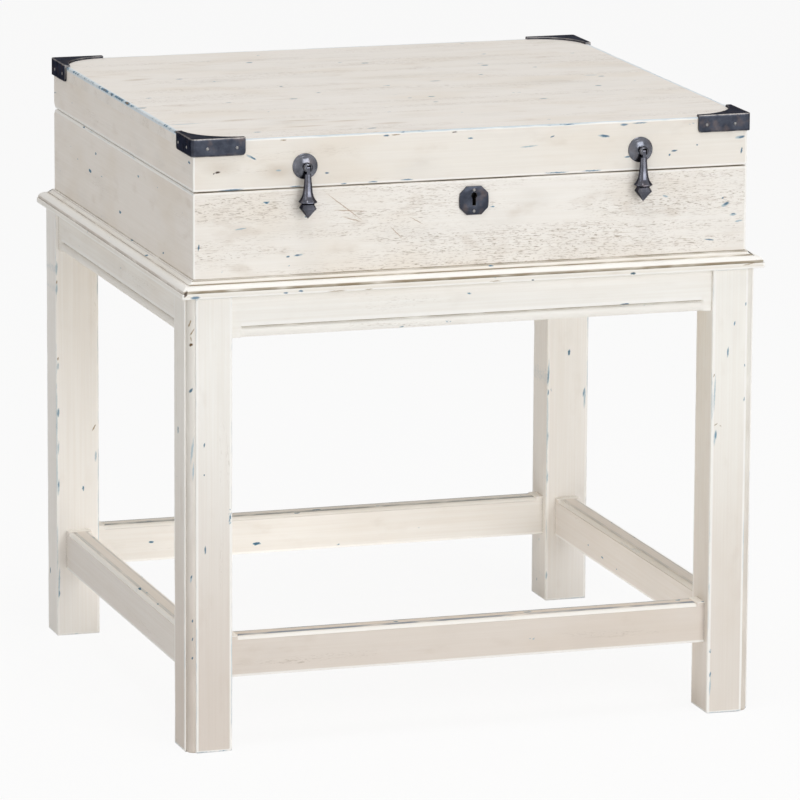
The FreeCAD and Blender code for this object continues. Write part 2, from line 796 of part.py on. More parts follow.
def make_hinge_pin(side):
    pin = primitive("Cylinder", "hinge_pin_" + side,
                    {"Radius": "pin_radius", "Height": "hinge_length"})
    place(keep(pin, "hinge_pin_" + side), hinge_x(side) + " - hinge_length / 2",
          "hinge_axis_y", "hinge_axis_z", 90, FreeCAD.Vector(0, 1, 0))


def make_hinge_screws(owner):
    """Four screws, driven away from the seam, their heads just below the leaf's face."""
    screws = []
    sign = 1 if owner == "lid" else -1
    seat = "lid_gap / 2 + hinge_screw_head_height"
    z = f"hinge_axis_z + {seat}" if owner == "lid" else f"hinge_axis_z - ({seat})"
    for side in ("left", "right"):
        for end in ("+", "-"):
            screw = turned_fastener("hinge_screw", "hinge_screw_radius", "hinge_screw_length",
                                    "hinge_screw_head_radius", "hinge_screw_head_height")
            place(screw, f"{hinge_x(side)} {end} hinge_screw_offset",
                  "hinge_axis_y - hinge_screw_reach", z, 90 * sign, FreeCAD.Vector(1, 0, 0))
            screws.append(screw)
    group("hinge_screws_" + owner, screws)


def make_bracket(corner):
    """A bent corner plate; the wood's corner is its origin, with x and y along the edges."""
    bracket = new_body("corner_bracket_" + corner)
    out = "-bracket_metal"
    pad(bracket, outline(bracket, "XY_Plane", [
        (out, out),
        ("bracket_length", out),
        ("bracket_length", "bracket_end", "bracket_length - bracket_end", "-"),
        ("bracket_end", "bracket_length"),
        (out, "bracket_length"),
    ]), "bracket_metal")
    foot = "-bracket_drop"
    for role in ("XZ_Plane", "YZ_Plane"):
        flange = outline(bracket, role, [
            (out, foot),
            ("bracket_length - bracket_end_radius", foot, "bracket_end_radius", "+"),
            ("bracket_length", foot + " + bracket_end_radius"),
            ("bracket_length", "bracket_metal"),
            (out, "bracket_metal"),
        ])
        last = pad(bracket, flange, "bracket_metal", reverse=role == "YZ_Plane")
    corner_at = -value("bracket_metal")
    last = fillet(bracket, last, "bracket_corner_radius", lambda edge: all(
        abs(v.X - corner_at) + abs(v.Y - corner_at) < 0.01 for v in edge.Vertexes))
    for role in ("XZ_Plane", "YZ_Plane"):
        holes = None
        for spot in ("bracket_nail_near", "bracket_nail_far"):
            holes = circle(bracket, role, spot, "-bracket_nail_drop", "nail_hole", sketch=holes)
        pocket(bracket, holes, "bracket_metal", reverse=role == "XZ_Plane")
    place_corner(bracket, corner, "box_width", "box_depth", "lid_top_face")


def make_bracket_nails():
    """Four nails to a bracket, two in each of its upright flanges."""
    nails = []
    z = "lid_top_face - bracket_nail_drop"
    for side, turn in SIDES.items():
        length = along(side, "box_width", "box_depth")
        across = along(side, "box_depth", "box_width")
        for end in (1, -1):
            for spot in ("bracket_nail_near", "bracket_nail_far"):
                run = f"({length} / 2 - {spot})"
                face = f"({across} / 2 + bracket_metal)"
                sine, cosine = round(math.sin(math.radians(turn))), round(math.cos(math.radians(turn)))
                nail = turned_fastener("bracket_nail", "nail_radius",
                                       "bracket_metal + nail_length - screw_end_gap",
                                       "nail_head_radius", "nail_head_height", True)
                place(nail, f"{end * cosine} * {run} + {sine} * {face}",
                      f"{end * sine} * {run} - {cosine} * {face}", z, turn)
                nails.append(nail)
    group("bracket_nails", nails)


def pull_x(side):
    return "-pull_offset" if side == "left" else "pull_offset"


def make_rosette(side):
    """A round back plate, turned about the post's axis: two grooved rings climb to a dome."""
    rosette = new_body("pull_rosette_" + side)
    ring = "rosette_radius - rosette_ring_width"
    dome = "rosette_radius - 2 * rosette_ring_width"
    ring_crest = "-rosette_edge - rosette_ring_rise"
    dome_crest = "-rosette_edge - 2 * rosette_ring_rise"
    revolve(rosette, outline(rosette, "XY_Plane", [
        ("post_hole", "0"),
        ("rosette_radius", "0"),
        ("rosette_radius", "-rosette_edge", "rosette_ring_radius", "-"),
        (ring, ring_crest),
        (ring, ring_crest + " + rosette_groove", "rosette_ring_radius", "-"),
        (dome, dome_crest),
        (dome, dome_crest + " + rosette_groove", "rosette_dome_radius", "-"),
        ("rosette_boss_radius", "-rosette_dome_height"),
        ("post_hole", "-rosette_dome_height"),
    ]))
    place(rosette, pull_x(side), "-box_depth / 2", "pull_axis_z")


def make_post(side):
    """The stud through rosette and board, with a slotted knob that holds the drop."""
    post = new_body("pull_post_" + side)
    collar = "-rosette_dome_height - post_collar_height"
    neck = "-pivot_reach + sqrt(post_knob_radius ^ 2 - post_stem_radius ^ 2)"
    revolve(post, outline(post, "XY_Plane", [
        ("0", "wall_thickness + post_tail"),
        ("0", "-pivot_reach - post_knob_radius", "post_knob_radius", "+"),
        ("post_knob_radius", "-pivot_reach", "post_knob_radius", "+"),
        ("post_stem_radius", neck),
        ("post_stem_radius", collar),
        ("post_collar_radius", collar),
        ("post_collar_radius", "-rosette_dome_height"),
        ("post_radius", "-rosette_dome_height"),
        ("post_radius", "wall_thickness + post_tail"),
    ]))
    depth = "-pivot_reach - post_knob_radius"
    slot = outline(post, "YZ_Plane", rectangle(depth, "-pivot_reach + slot_rise",
                                               "-post_knob_radius", "slot_rise"))
    pocket(post, slot, "slot_width", True)
    bore = circle(post, "YZ_Plane", "-pivot_reach", "0", "pivot_pin_radius + pin_clearance")
    pocket(post, bore, "2 * post_knob_radius", True)
    place(post, pull_x(side), "-box_depth / 2", "pull_axis_z")


def make_pivot_pin(side):
    pin = primitive("Cylinder", "pull_pin_" + side,
                    {"Radius": "pivot_pin_radius", "Height": "pivot_pin_length"})
    place(keep(pin, "pull_pin_" + side), pull_x(side) + " - pivot_pin_length / 2",
          "-box_depth / 2 - pivot_reach", "pull_axis_z", 90, FreeCAD.Vector(0, 1, 0))


def drop_loft(name, ruled, stations):
    """A solid through octagons, each at a distance below the pivot and so wide across its flats."""
    loft = doc.addObject("Part::Loft", name)
    sections = []
    for below, across in stations:
        half_angle = 180 / DROP_FLATS
        section = primitive("RegularPolygon", name + "_section",
                            {"Circumradius": f"{across} / 2 / cos({half_angle}deg)"})
        section.Polygon = DROP_FLATS
        place(section, "0", "0", f"-({below})", half_angle)
        sections.append(section)
    loft.Sections = sections
    loft.Solid = True
    loft.Ruled = ruled
    return loft


def make_drop(side):
    """A faceted drop: its flats flare from the neck to a collar, then run to a waist and a point."""
    edge = "collar_below + collar_edge"
    flare = drop_loft("drop_flare", False, [
        ("neck_below", "neck_across"), ("shaft_below", "shaft_across"),
        ("swell_below", "swell_across"), ("flare_below", "flare_across"),
        ("collar_below", "collar_across"),
    ])
    head = drop_loft("drop_head", True, [
        ("collar_below", "collar_across"), (edge, "collar_across"), ("waist_below", "waist_across"),
        ("point_below", "point_across"), ("tip_below", "tip_across"),
    ])
    tang = primitive("Box", "drop_tang", {"Length": "tang_thickness", "Width": "2 * tang_radius",
                                          "Height": "neck_below"})
    place(tang, "-tang_thickness / 2", "-tang_radius", "-neck_below")
    eye = primitive("Cylinder", "drop_eye", {"Radius": "tang_radius", "Height": "tang_thickness"})
    place(eye, "-tang_thickness / 2", "0", "0", 90, FreeCAD.Vector(0, 1, 0))
    whole = doc.addObject("Part::MultiFuse", "drop_whole")
    whole.Shapes = [flare, head, tang, eye]
    bore = primitive("Cylinder", "drop_bore", {"Radius": "pivot_pin_radius + pivot_clearance",
                                               "Height": "2 * tang_thickness"})
    place(bore, "-tang_thickness", "0", "0", 90, FreeCAD.Vector(0, 1, 0))
    drop = doc.addObject("Part::Cut", "pull_drop_" + side)
    drop.Base = whole
    drop.Tool = bore
    place(keep(drop, "pull_drop_" + side), pull_x(side), "-box_depth / 2 - pivot_reach",
          "pull_axis_z")


def make_nuts():
    nuts = []
    for side in ("left", "right"):
        nut = doc.addObject("PartDesign::Body", "pull_nut")
        half = "nut_across / 2"
        point = "nut_across / 2 / cos(30deg)"
        corner = "nut_across / 4 / cos(30deg)"
        face = outline(nut, "XZ_Plane", [("-" + point, "0"), ("-" + corner, "-" + half),
                                         (corner, "-" + half), (point, "0"), (corner, half),
                                         ("-" + corner, half)])
        circle(nut, "XZ_Plane", "0", "0", "post_hole", sketch=face)
        pad(nut, face, "nut_thickness", reverse=True)
        place(nut, pull_x(side), "-box_depth / 2 + wall_thickness", "pull_axis_z")
        nuts.append(nut)
    group("pull_nuts", nuts)


def make_lock_plate():
    """The escutcheon: thin plate with clipped corners, bowed sides, a keyhole and two nails."""
    plate = new_body("escutcheon")
    half_x = "plate_width / 2"
    half_z = "plate_height / 2"
    clip_x = "(plate_width / 2 - plate_clip)"
    clip_z = "(plate_height / 2 - plate_clip)"
    face = outline(plate, "XZ_Plane", [
        ("-" + clip_x, "-" + half_z), (clip_x, "-" + half_z),
        (half_x, "-" + clip_z, "plate_bow_radius", "+"), (half_x, clip_z),
        (clip_x, half_z), ("-" + clip_x, half_z),
        ("-" + half_x, clip_z, "plate_bow_radius", "+"), ("-" + half_x, "-" + clip_z),
    ])
    keyhole(plate, "XZ_Plane", "0", face)
    for end in ("", "-"):
        circle(plate, "XZ_Plane", "0", end + "plate_nail_offset", "nail_hole", sketch=face)
    pad(plate, face, "plate_thickness")
    place(plate, "0", "-box_depth / 2", "plate_axis_z")
    nails = []
    for end in ("+", "-"):
        nail = turned_fastener("plate_nail", "nail_radius",
                               "plate_thickness + nail_length - screw_end_gap",
                               "nail_head_radius", "nail_head_height", True)
        place(nail, "0", "-box_depth / 2 - plate_thickness", f"plate_axis_z {end} plate_nail_offset")
        nails.append(nail)
    group("escutcheon_nails", nails)


for row, (name, size) in enumerate(SIZES.items(), 1):
    sheet.set("A%d" % row, name)
    sheet.set("B%d" % row, str(size))
    sheet.setAlias("B%d" % row, name)
doc.recompute()

for corner in CORNERS:
    make_leg(corner)
    make_corner_block(corner)
    make_bracket(corner)
for side in SIDES:
    make_apron(side)
    make_stretcher(side)
    make_rim(side)
    make_box_wall(side)
    make_lid_wall(side)
make_block_screws()
make_box_bottom()
make_box_screws()
make_lid_top()
make_bumpers()
make_bracket_nails()
for side in ("left", "right"):
    make_hinge_leaf("box", side)
    make_hinge_leaf("lid", side)
    make_hinge_pin(side)
    make_rosette(side)
    make_post(side)
    make_pivot_pin(side)
    make_drop(side)
make_hinge_screws("box")
make_hinge_screws("lid")
make_nuts()
make_lock_plate()
doc.recompute()

faults = [item.Label for item in doc.Objects if {"Invalid", "Error"} & set(item.State)]
faults += [node.Label for node in nodes if node.Shape.isNull() or not node.Shape.isValid()]
if faults:
    raise RuntimeError("Not built: " + ", ".join(faults))
os.makedirs("parts", exist_ok=True)
for node in nodes:
    node.Shape.exportStep("parts/%s.step" % node.Label)
print(len(nodes), "nodes")
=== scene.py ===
import json
import math
import bmesh
import bpy
from mathutils import Matrix, Vector, noise

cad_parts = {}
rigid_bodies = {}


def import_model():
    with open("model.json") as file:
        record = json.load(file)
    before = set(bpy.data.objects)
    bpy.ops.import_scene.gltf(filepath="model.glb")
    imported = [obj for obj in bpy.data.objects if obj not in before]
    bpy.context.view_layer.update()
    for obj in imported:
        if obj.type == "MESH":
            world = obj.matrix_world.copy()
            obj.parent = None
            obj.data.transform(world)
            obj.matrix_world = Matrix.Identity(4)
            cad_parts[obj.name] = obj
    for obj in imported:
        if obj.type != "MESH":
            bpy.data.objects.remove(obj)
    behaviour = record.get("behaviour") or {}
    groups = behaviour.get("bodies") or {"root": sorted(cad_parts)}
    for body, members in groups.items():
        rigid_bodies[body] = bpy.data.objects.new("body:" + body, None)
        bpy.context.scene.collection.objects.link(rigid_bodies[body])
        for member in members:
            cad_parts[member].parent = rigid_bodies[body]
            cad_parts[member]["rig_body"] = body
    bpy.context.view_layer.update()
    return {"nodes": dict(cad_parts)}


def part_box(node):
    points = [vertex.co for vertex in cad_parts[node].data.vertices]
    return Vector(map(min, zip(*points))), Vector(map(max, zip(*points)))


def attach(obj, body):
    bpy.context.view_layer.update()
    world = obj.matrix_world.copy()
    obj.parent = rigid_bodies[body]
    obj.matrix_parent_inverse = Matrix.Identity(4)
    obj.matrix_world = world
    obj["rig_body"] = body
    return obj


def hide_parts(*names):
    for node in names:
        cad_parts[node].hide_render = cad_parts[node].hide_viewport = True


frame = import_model()


# Legs: four square posts of solid pine, the outer corner of each moulded to an
# ovolo between two steps. They are planed, painted off-white over an older blue
# coat, glazed brown in the hollows, and rubbed through along the arrises.

MM = 0.001
CORNER_TURNS = {"front_left": 0, "front_right": 90, "back_right": 180, "back_left": 270}
LEG_ARRIS = 1.1
LEG_STEP = 9.5
OVOLO_RADIUS = 7.7
LEG_END = (1.4, 1.1, 1.0)
# In mm: how far wear spreads beside an arris and glaze beside a quirk, and how far apart rings lie
WEAR_BAND = 2.8
GLAZE_BAND = 1.2
RING_SPACING = 9.0
# An arris is rubbed down this many mm at most, in patches and dents that come so many times a metre
RUB_DEPTH = 0.5
RUB_PATCHES = 34
RUB_DENTS = 110
# Faces of a mesh that meet at more than this are shaded apart
FOLD = math.radians(32)
# Noise in the paint: length along the grain and width across it in mm, detail, roughness
PAINT_NOISE = {
    "warm_cloud": (120, 50, 4, 0.5), "cool_cloud": (80, 34, 4, 0.5), "brush_streak": (160, 2.4, 4, 0.5),
    "smudge": (46, 20, 5, 0.5), "open_grain": (200, 20, 5, 0.5), "short_pores": (4.2, 0.75, 2, 0.5),
    "dashes": (9, 0.75, 2, 0.5), "long_pores": (30, 0.75, 2, 0.5), "glaze_depth": (40, 12, 2, 0.5),
    "ragged": (3.5, 1.6, 3, 0.5), "knocks": (36, 7, 4, 0.68), "stretches": (120, 90, 1, 0.5),
}
# Blue flecks: length and width of the cell that each lies in, in mm, and the share that the largest fills
FLECK_KINDS = ((24, 9, 0.24), (64, 13, 0.17))


def linear(hex_colour):
    """An sRGB hex colour as linear red, green, blue and alpha."""
    parts = [int(hex_colour[i:i + 2], 16) / 255 for i in (1, 3, 5)]
    return [p / 12.92 if p <= 0.04045 else ((p + 0.055) / 1.055) ** 2.4 for p in parts] + [1.0]


def add(tree, kind, inputs=None, out=0, **settings):
    """Add a node and give one of its outputs; each input is a value to set or an output to link."""
    made = tree.nodes.new("ShaderNode" + kind)
    for name, setting in settings.items():
        setattr(made, name, setting)
    for name, given in (inputs or {}).items():
        if isinstance(given, bpy.types.NodeSocket):
            tree.links.new(given, made.inputs[name])
        else:
            made.inputs[name].default_value = given
    return made.outputs[out] if made.outputs else None


def new_material(name):
    material = bpy.data.materials.new(name)
    material.use_nodes = True
    material.node_tree.nodes.clear()
    return material, material.node_tree


def tinted(tree, base, layers):
    """A base colour with tints laid over it one by one, each as far as its mask says."""
    colour = linear(base)
    for mask, tint in layers:
        colour = add(tree, "Mix", {0: mask, 6: colour, 7: linear(tint)}, out=2, data_type="RGBA")
    return colour


def distressed_paint(name, grain_turn, pore_share, coat, clouds=0.55, smudges=0.3, rarity=0.82, glaze=0.85,
                     floor_shade=0.2, glaze_tint="#7A663C", burnish="#FDFBF7", face="front", scars=()):
    """Off-white paint rubbed over an old blue coat, with the wood's pores showing through.

    The eye gets a soft satin sheen, faint grain along the board, brown dashes in the
    open pores, blue flecks where the top coat has gone, and a brown glaze in the hollows.
    Worn arrises and raised mouldings are paler, partly from wear and partly as a painted
    highlight, and painted shade darkens the paint towards the floor.
    open pores, blue flecks where the top coat has gone, and a brown glaze in the hollows.
    Each of the scars is a scratch, chip or knot of its own at a place on the board.
    """
    material, tree = new_material("distressed_paint_" + name)
    spot = add(tree, "TexCoord", out="Object")
    grain = add(tree, "Mapping", {"Vector": spot, "Rotation": grain_turn})
    patterns = {}
    for kind, (length, width, detail, harshness) in PAINT_NOISE.items():
        each = (1000 / length, 1000 / width, 1000 / width)
        place = add(tree, "VectorMath", {0: grain, 1: each}, operation="MULTIPLY")
        patterns[kind] = add(tree, "TexNoise", {
            "Vector": place, "Scale": 1.0, "Detail": detail, "Roughness": harshness}, out="Fac")
    ragged = patterns["ragged"].node.outputs["Color"]

    # Arrises: the wear that the mesh carries, broken up by noise along the edge
    wear = add(tree, "Attribute", out="Fac", attribute_name="wear")
    handled = add(tree, "Math", {0: patterns["stretches"], 1: 0.8, 2: wear}, operation="MULTIPLY_ADD")
    worn = add(tree, "Math", {0: patterns["knocks"], 1: 1.15, 2: handled}, operation="MULTIPLY_ADD")
    patterns.update(burnish=wear, quirk=wear, rubbed=worn, chipped=worn, to_wood=worn)
    # Height, for the painted shade that darkens the paint towards the floor
    patterns["painted_floor_shade"] = add(tree, "SeparateXYZ", {0: spot}, out="Z")
    patterns["nook"] = add(tree, "AmbientOcclusion", {"Distance": 6 * MM}, out="AO", samples=4)

    # Blue flecks, drawn out along the grain: small ones, and fewer long ones
    shift = add(tree, "VectorMath", {0: ragged, 1: (0.3, 0.3, 0.3)}, operation="MULTIPLY")
    flecks = []
    for cell_length, cell_width, size in FLECK_KINDS:
        each = (1000 / cell_length, 1000 / cell_width, 1000 / cell_width)
        cells = add(tree, "VectorMath", {0: grain, 1: each, 2: shift}, operation="MULTIPLY_ADD")
        away = add(tree, "TexVoronoi", {"Vector": cells, "Scale": 1.0}, out="Distance")
        luck = add(tree, "SeparateColor", {0: away.node.outputs["Color"]}, out="Red")
        reach = add(tree, "MapRange", {"Value": luck, "From Min": rarity, "From Max": 1.0, "To Max": size})
        flecks.append(add(tree, "Math", {0: reach, 1: away}, operation="SUBTRACT"))
    inside = add(tree, "Math", {0: flecks[0], 1: flecks[1]}, operation="MAXIMUM")
    patterns.update(fleck=inside, fleck_heart=inside)

    # Each mask: the value of its pattern where it begins, the value where it is full, and its strength there
    masks = {}
    for mask, (none, full, strength) in {
        "warm_cloud": (0.42, 0.75, clouds), "cool_cloud": (0.5, 0.78, 0.65 * clouds),
        "brush_streak": (0.25, 0.75, 0.24), "smudge": (0.56, 0.78, smudges),
        "open_grain": (0.6 - pore_share, 0.82 - pore_share, 1.0), "short_pores": (0.58, 0.7, 0.65),
        "dashes": (0.58, 0.7, 0.65), "long_pores": (0.62, 0.75, 0.6), "glaze_depth": (0.2, 0.6, 1.0),
        # Of these, the mask from height is painted shade towards the floor, and the one from wear just above
        # zero pales arrises and mouldings, partly wear and partly a painted highlight
        "painted_floor_shade": (0.42, 0.03, floor_shade), "burnish": (0.1, 0.45, 0.92), "quirk": (-0.2, -0.9, glaze),
        "nook": (0.55, 0.25, 0.6), "rubbed": (1.78, 2.12, 0.75), "chipped": (2.15, 2.21, 1.0),
        "to_wood": (2.27, 2.35, 1.0), "fleck": (0.0, 0.03, 1.0), "fleck_heart": (0.03, 0.075, 1.0),
    }.items():
        masks[mask] = add(tree, "MapRange", {
            "Value": patterns[mask], "From Min": none, "From Max": full, "To Max": strength},
            interpolation_type="SMOOTHSTEP")
    masks["hollow"] = add(tree, "Math", {0: masks["quirk"], 1: masks["nook"]}, operation="MAXIMUM")
    for mask in ("short_pores", "dashes", "long_pores", "hollow"):
        within = "glaze_depth" if mask == "hollow" else "open_grain"
        masks[mask] = add(tree, "Math", {0: masks[mask], 1: masks[within]}, operation="MULTIPLY")
    # The pale layer on worn arrises and mouldings is partly a painted highlight, and the layer from height
    # is painted shade near the floor
    layers = [(masks[mask], tint) for mask, tint in (
        ("warm_cloud", "#E9DECF"), ("cool_cloud", "#DEDAD4"), ("brush_streak", "#E3DACE"),
        ("smudge", "#CDBFAF"), ("painted_floor_shade", "#CDBDB0"), ("short_pores", "#9A8772"),
        ("dashes", "#8F7B66"), ("long_pores", "#A18D72"), ("hollow", glaze_tint), ("burnish", burnish),
        ("rubbed", "#C6D3DA"), ("fleck", "#93AEBC"), ("fleck_heart", "#3F6A83"), ("chipped", "#58809A"),
        ("to_wood", "#7C6448"),
    )]

    # The scars of this board alone: ragged ellipses, each with its place, tilt and half sizes in mm
    wander = add(tree, "VectorMath", {0: ragged, 1: (1.5 * MM, 1.5 * MM, 1.5 * MM), 2: spot},
                 operation="MULTIPLY_ADD")
    for tint, strength, soft, spots in scars:
        for across, up, tilt, half_length, half_width in spots:
            angle = math.radians(tilt)
            if face == "top":
                lie = {"Location": (across * MM, up * MM, 0), "Rotation": (0, 0, angle),
                       "Scale": (half_length * MM, half_width * MM, 1000)}
            else:
                lie = {"Location": (across * MM, 0, up * MM), "Rotation": (0, -angle, 0),
                       "Scale": (half_length * MM, 1000, half_width * MM)}
            local = add(tree, "Mapping", {"Vector": wander, **lie}, vector_type="TEXTURE")
            away = add(tree, "VectorMath", {0: local}, out="Value", operation="LENGTH")
            layers.append((add(tree, "MapRange", {
                "Value": away, "From Min": 1.0, "From Max": 1.0 - soft, "To Max": strength}), tint))

    lost = add(tree, "Math", {0: masks["fleck"], 1: masks["chipped"]}, operation="MAXIMUM")
    lost = add(tree, "Math", {0: lost, 1: masks["short_pores"]}, operation="ADD")
    height = add(tree, "Math", {0: masks["brush_streak"], 1: 0.9, 2: lost}, operation="MULTIPLY_ADD")
    relief = add(tree, "Bump", {"Height": height, "Strength": 0.5, "Distance": 0.25 * MM}, invert=True)
    dull = add(tree, "MapRange", {"Value": lost, "To Min": 0.56, "To Max": 0.8})
    shader = add(tree, "BsdfPrincipled", {
        "Base Color": tinted(tree, coat, layers), "Roughness": dull, "Normal": relief, "IOR": 1.5})
    add(tree, "OutputMaterial", {"Surface": shader})
    return material


# The grain runs along the pattern's X, so it is turned to each board's length
UPRIGHT, CROSSWISE, LENGTHWISE = (0, math.pi / 2, 0), (0, 0, 0), (0, 0, math.pi / 2)


def eased(corners):
    """A profile in mm with its arrises rounded, as points in metres with their wear.

    A corner is x, y and a radius. A point of a moulding has radius 0, and either may give its wear.
    Wear is 1 on a rubbed arris, 0 on the flat, and -1 in a quirk that holds the glaze.
    Wear above about 0.1 also pales the paint, partly as a painted highlight.
    """
    ring = []
    for index, (x, y, radius, *given) in enumerate(corners):
        here = Vector((x, y))
        if radius == 0:
            ring.append((here * MM, given[0] if given else 0.0))
            continue
        before = Vector(corners[index - 1][:2]) - here
        after = Vector(corners[(index + 1) % len(corners)][:2]) - here
        reach = radius / math.tan(before.angle(after) / 2)
        start = here + before.normalized() * reach
        end = here + after.normalized() * reach
        wear = given[0] if given else 1.0
        band = WEAR_BAND if wear > 0 else GLAZE_BAND
        if before.length > 2 * (reach + band):
            ring.append(((start + before.normalized() * band) * MM, 0.0))
        for step in (0, 1 / 3, 2 / 3, 1):
            ring.append((start.lerp(here, step).lerp(here.lerp(end, step), step) * MM, wear))
        if after.length > 2 * (reach + band):
            ring.append(((end + after.normalized() * band) * MM, 0.0))
    return ring


def arc(centre, radius, start, end, steps, wear=0.0):
    """Points of a moulding's curve, from one angle to another in degrees."""
    points = []
    for step in range(steps + 1):
        angle = math.radians(start + (end - start) * step / steps)
        x, y = centre[0] + radius * math.cos(angle), centre[1] + radius * math.sin(angle)
        points.append((x, y, 0, wear))
    return points


def inward_of(ring):
    """At each point of a profile, the direction into the wood."""
    area = sum(p.x * ring[i - 1][0].y - ring[i - 1][0].x * p.y for i, (p, _) in enumerate(ring))
    ways = []
    for index in range(len(ring)):
        along = ring[(index + 1) % len(ring)][0] - ring[index - 1][0]
        ways.append(Vector((along.y, -along.x)).normalized() * math.copysign(1, area))
    return ways


def marks_along(length, reach=0.0, pull=0.0, end_wear=0.0, extra=()):
    """Places along a board in mm, each with how far its ring is drawn in there, and its wear."""
    near = [(0.0, pull, end_wear)]
    if reach:
        near += [(0.3 * reach, 0.3 * pull, end_wear), (reach, 0.0, end_wear), (WEAR_BAND, 0.0, 0.0)]
    room = length - 2 * near[-1][0]
    steps = max(2, round(room / RING_SPACING))
    middle = [(near[-1][0] + room * step / steps, 0.0, 0.0) for step in range(1, steps)]
    middle += [(place, 0.0, 0.0) for place in extra]
    return near + sorted(middle) + [(length - place, draw, wear) for place, draw, wear in reversed(near)]


def skin(name, rings, wears, hollow=False):
    """Join rings of points into a closed mesh that carries its wear.

    A hollow one has no ends: its last ring is joined to its first.
    """
    count = len(rings[0])
    shape = bmesh.new()
    worn = shape.verts.layers.float.new("wear")
    rows = []
    for ring, wear_ring in zip(rings, wears):
        rows.append([shape.verts.new(point) for point in ring])
        for vert, wear in zip(rows[-1], wear_ring):
            vert[worn] = wear
    if hollow:
        rows.append(rows[0])
    else:
        shape.faces.new(rows[0])
        shape.faces.new(rows[-1])
    for row, following in zip(rows, rows[1:]):
        for index in range(count):
            side = (index + 1) % count
            shape.faces.new((row[index], following[index], following[side], row[side]))
    bmesh.ops.remove_doubles(shape, verts=shape.verts, dist=1e-6)
    bmesh.ops.recalc_face_normals(shape, faces=shape.faces)
    mesh = bpy.data.meshes.new(name)
    shape.to_mesh(mesh)
    shape.free()
    mesh.shade_smooth()
    mesh.set_sharp_from_angle(angle=FOLD)
    piece = bpy.data.objects.new(name, mesh)
    bpy.context.scene.collection.objects.link(piece)
    return piece


def rubbed_depth(spot, wear):
    """How deep an arris is rubbed down at a place, in metres."""
    rough = noise.noise(spot * RUB_PATCHES) + 0.35 * noise.noise(spot * RUB_DENTS)
    return RUB_DEPTH * MM * max(wear, 0.0) * max(0.0, rough)


def swept(name, seat, stations, profile, mitred=0.0):
    """Sweep a profile, or one that changes from place to place, along a board that lies on its seat.

    A mitred board gives its length in metres.
    """
    rings, wears = [], []
    for place, draw, end_wear in stations:
        ring = profile(place) if callable(profile) else profile
        points = []
        for (point, wear), inward in zip(ring, inward_of(ring)):
            drawn = point + inward * draw * MM
            run = place * MM
            if mitred:
                run = drawn.x + run * (1 - 2 * drawn.x / mitred)
            spot = seat @ Vector((drawn.x, drawn.y, run))
            sink = rubbed_depth(spot, max(wear, end_wear))
            points.append(spot + seat.to_3x3() @ inward.to_3d() * sink)
        rings.append(points)
        wears.append([wear if wear < 0 else max(wear, end_wear) for _, wear in ring])
    return skin(name, rings, wears)


def stand_for(piece, node, *materials):
    """Put a piece in the place of a CAD node: on its body, with these materials."""
    for material in materials:
        piece.data.materials.append(material)
    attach(piece, frame["nodes"][node]["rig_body"])
    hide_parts(node)


def outer_corner(low, high, corner, height):
    """The point of a box that lies at one corner of the table, at a height."""
    return Vector((low.x if "left" in corner else high.x, low.y if "front" in corner else high.y, height))


leg_low, leg_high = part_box("leg_front_left")
leg_side = (leg_high.x - leg_low.x) / MM
ovolo_start = LEG_STEP - OVOLO_RADIUS
# The arrises and the step beside the ovolo carry wear that pales them, partly as a painted highlight
leg_ring = eased([
    (LEG_STEP, 0, 0.5, 0.85), (leg_side, 0, LEG_ARRIS, 0.85), (leg_side, leg_side, LEG_ARRIS, 0.85),
    (0, leg_side, LEG_ARRIS, 0.85), (0, LEG_STEP, 0.5, 0.85), (ovolo_start, LEG_STEP, 0, -0.4),
    *arc((LEG_STEP, LEG_STEP), OVOLO_RADIUS, 186, 264, 8, -0.38), (LEG_STEP, ovolo_start, 0, 0.5),
])
# The corner of the front left leg is the most knocked, and the front right one has a few blue chips.
# Both front legs are darkened strongly towards the floor as painted shade.
knocked_leg_paint = distressed_paint(
    "knocked_leg", UPRIGHT, 0.0, "#FAF8F3", 0.2, 0.2, 0.95, floor_shade=0.62, scars=[
        ("#8E7243", 0.85, 0.5, [
            (-302, 449, 75, 4.5, 0.8), (-300, 440, 60, 5.0, 0.7), (-301, 433, 100, 3.0, 0.6)]),
        ("#A59684", 0.7, 0.7, [(-252, 63, -20, 8, 3.2), (-249, 58, 60, 4, 1.6)]),
        ("#5F4420", 1.0, 0.5, [(-301, 427, 40, 2.4, 1.7)]),
        ("#A9BFCB", 0.8, 0.6, [
            (-300, 318, 84, 16, 1.3), (-299, 296, 88, 12, 1.0), (-301, 184, 80, 5, 1.0)]),
        ("#3F6A83", 0.95, 0.5, [
            (-301, 380, 60, 3.4, 1.5), (-288, 323, 80, 3.2, 0.9), (-288, 292, 80, 1.2, 0.7),
            (-287, 214, 88, 5.2, 1.0), (-301, 186, 80, 2.0, 0.8), (-300, 140, 80, 2.2, 0.7),
            (-300, 121, 80, 2.4, 0.7), (-300, 101, 80, 1.8, 0.9)]),
    ])
chipped_leg_paint = distressed_paint(
    "chipped_leg", UPRIGHT, 0.0, "#FAF8F2", 0.3, 0.2, 0.95, floor_shade=0.45, scars=[
        ("#A9BFCB", 0.7, 0.6, [(263, 344, 88, 24, 1.2), (264, 297, 86, 10, 1.5), (263, 30, 88, 12, 1.2)]),
        ("#8E7243", 0.7, 0.5, [
            (262, 363, 70, 2.2, 0.7), (265, 311, 30, 2.4, 0.7), (270, 309, -20, 1.6, 0.6)]),
        ("#5F8AA3", 0.95, 0.5, [
            (284, 417, 84, 2.8, 1.0), (277, 387, 87, 6.4, 1.0), (265, 300, 86, 5.5, 1.2),
            (263, 43, 84, 3.6, 1.2), (296, 437, 88, 2.4, 0.7), (296, 372, 88, 2.0, 0.7),
            (296, 336, 88, 3.0, 0.7)]),
    ])
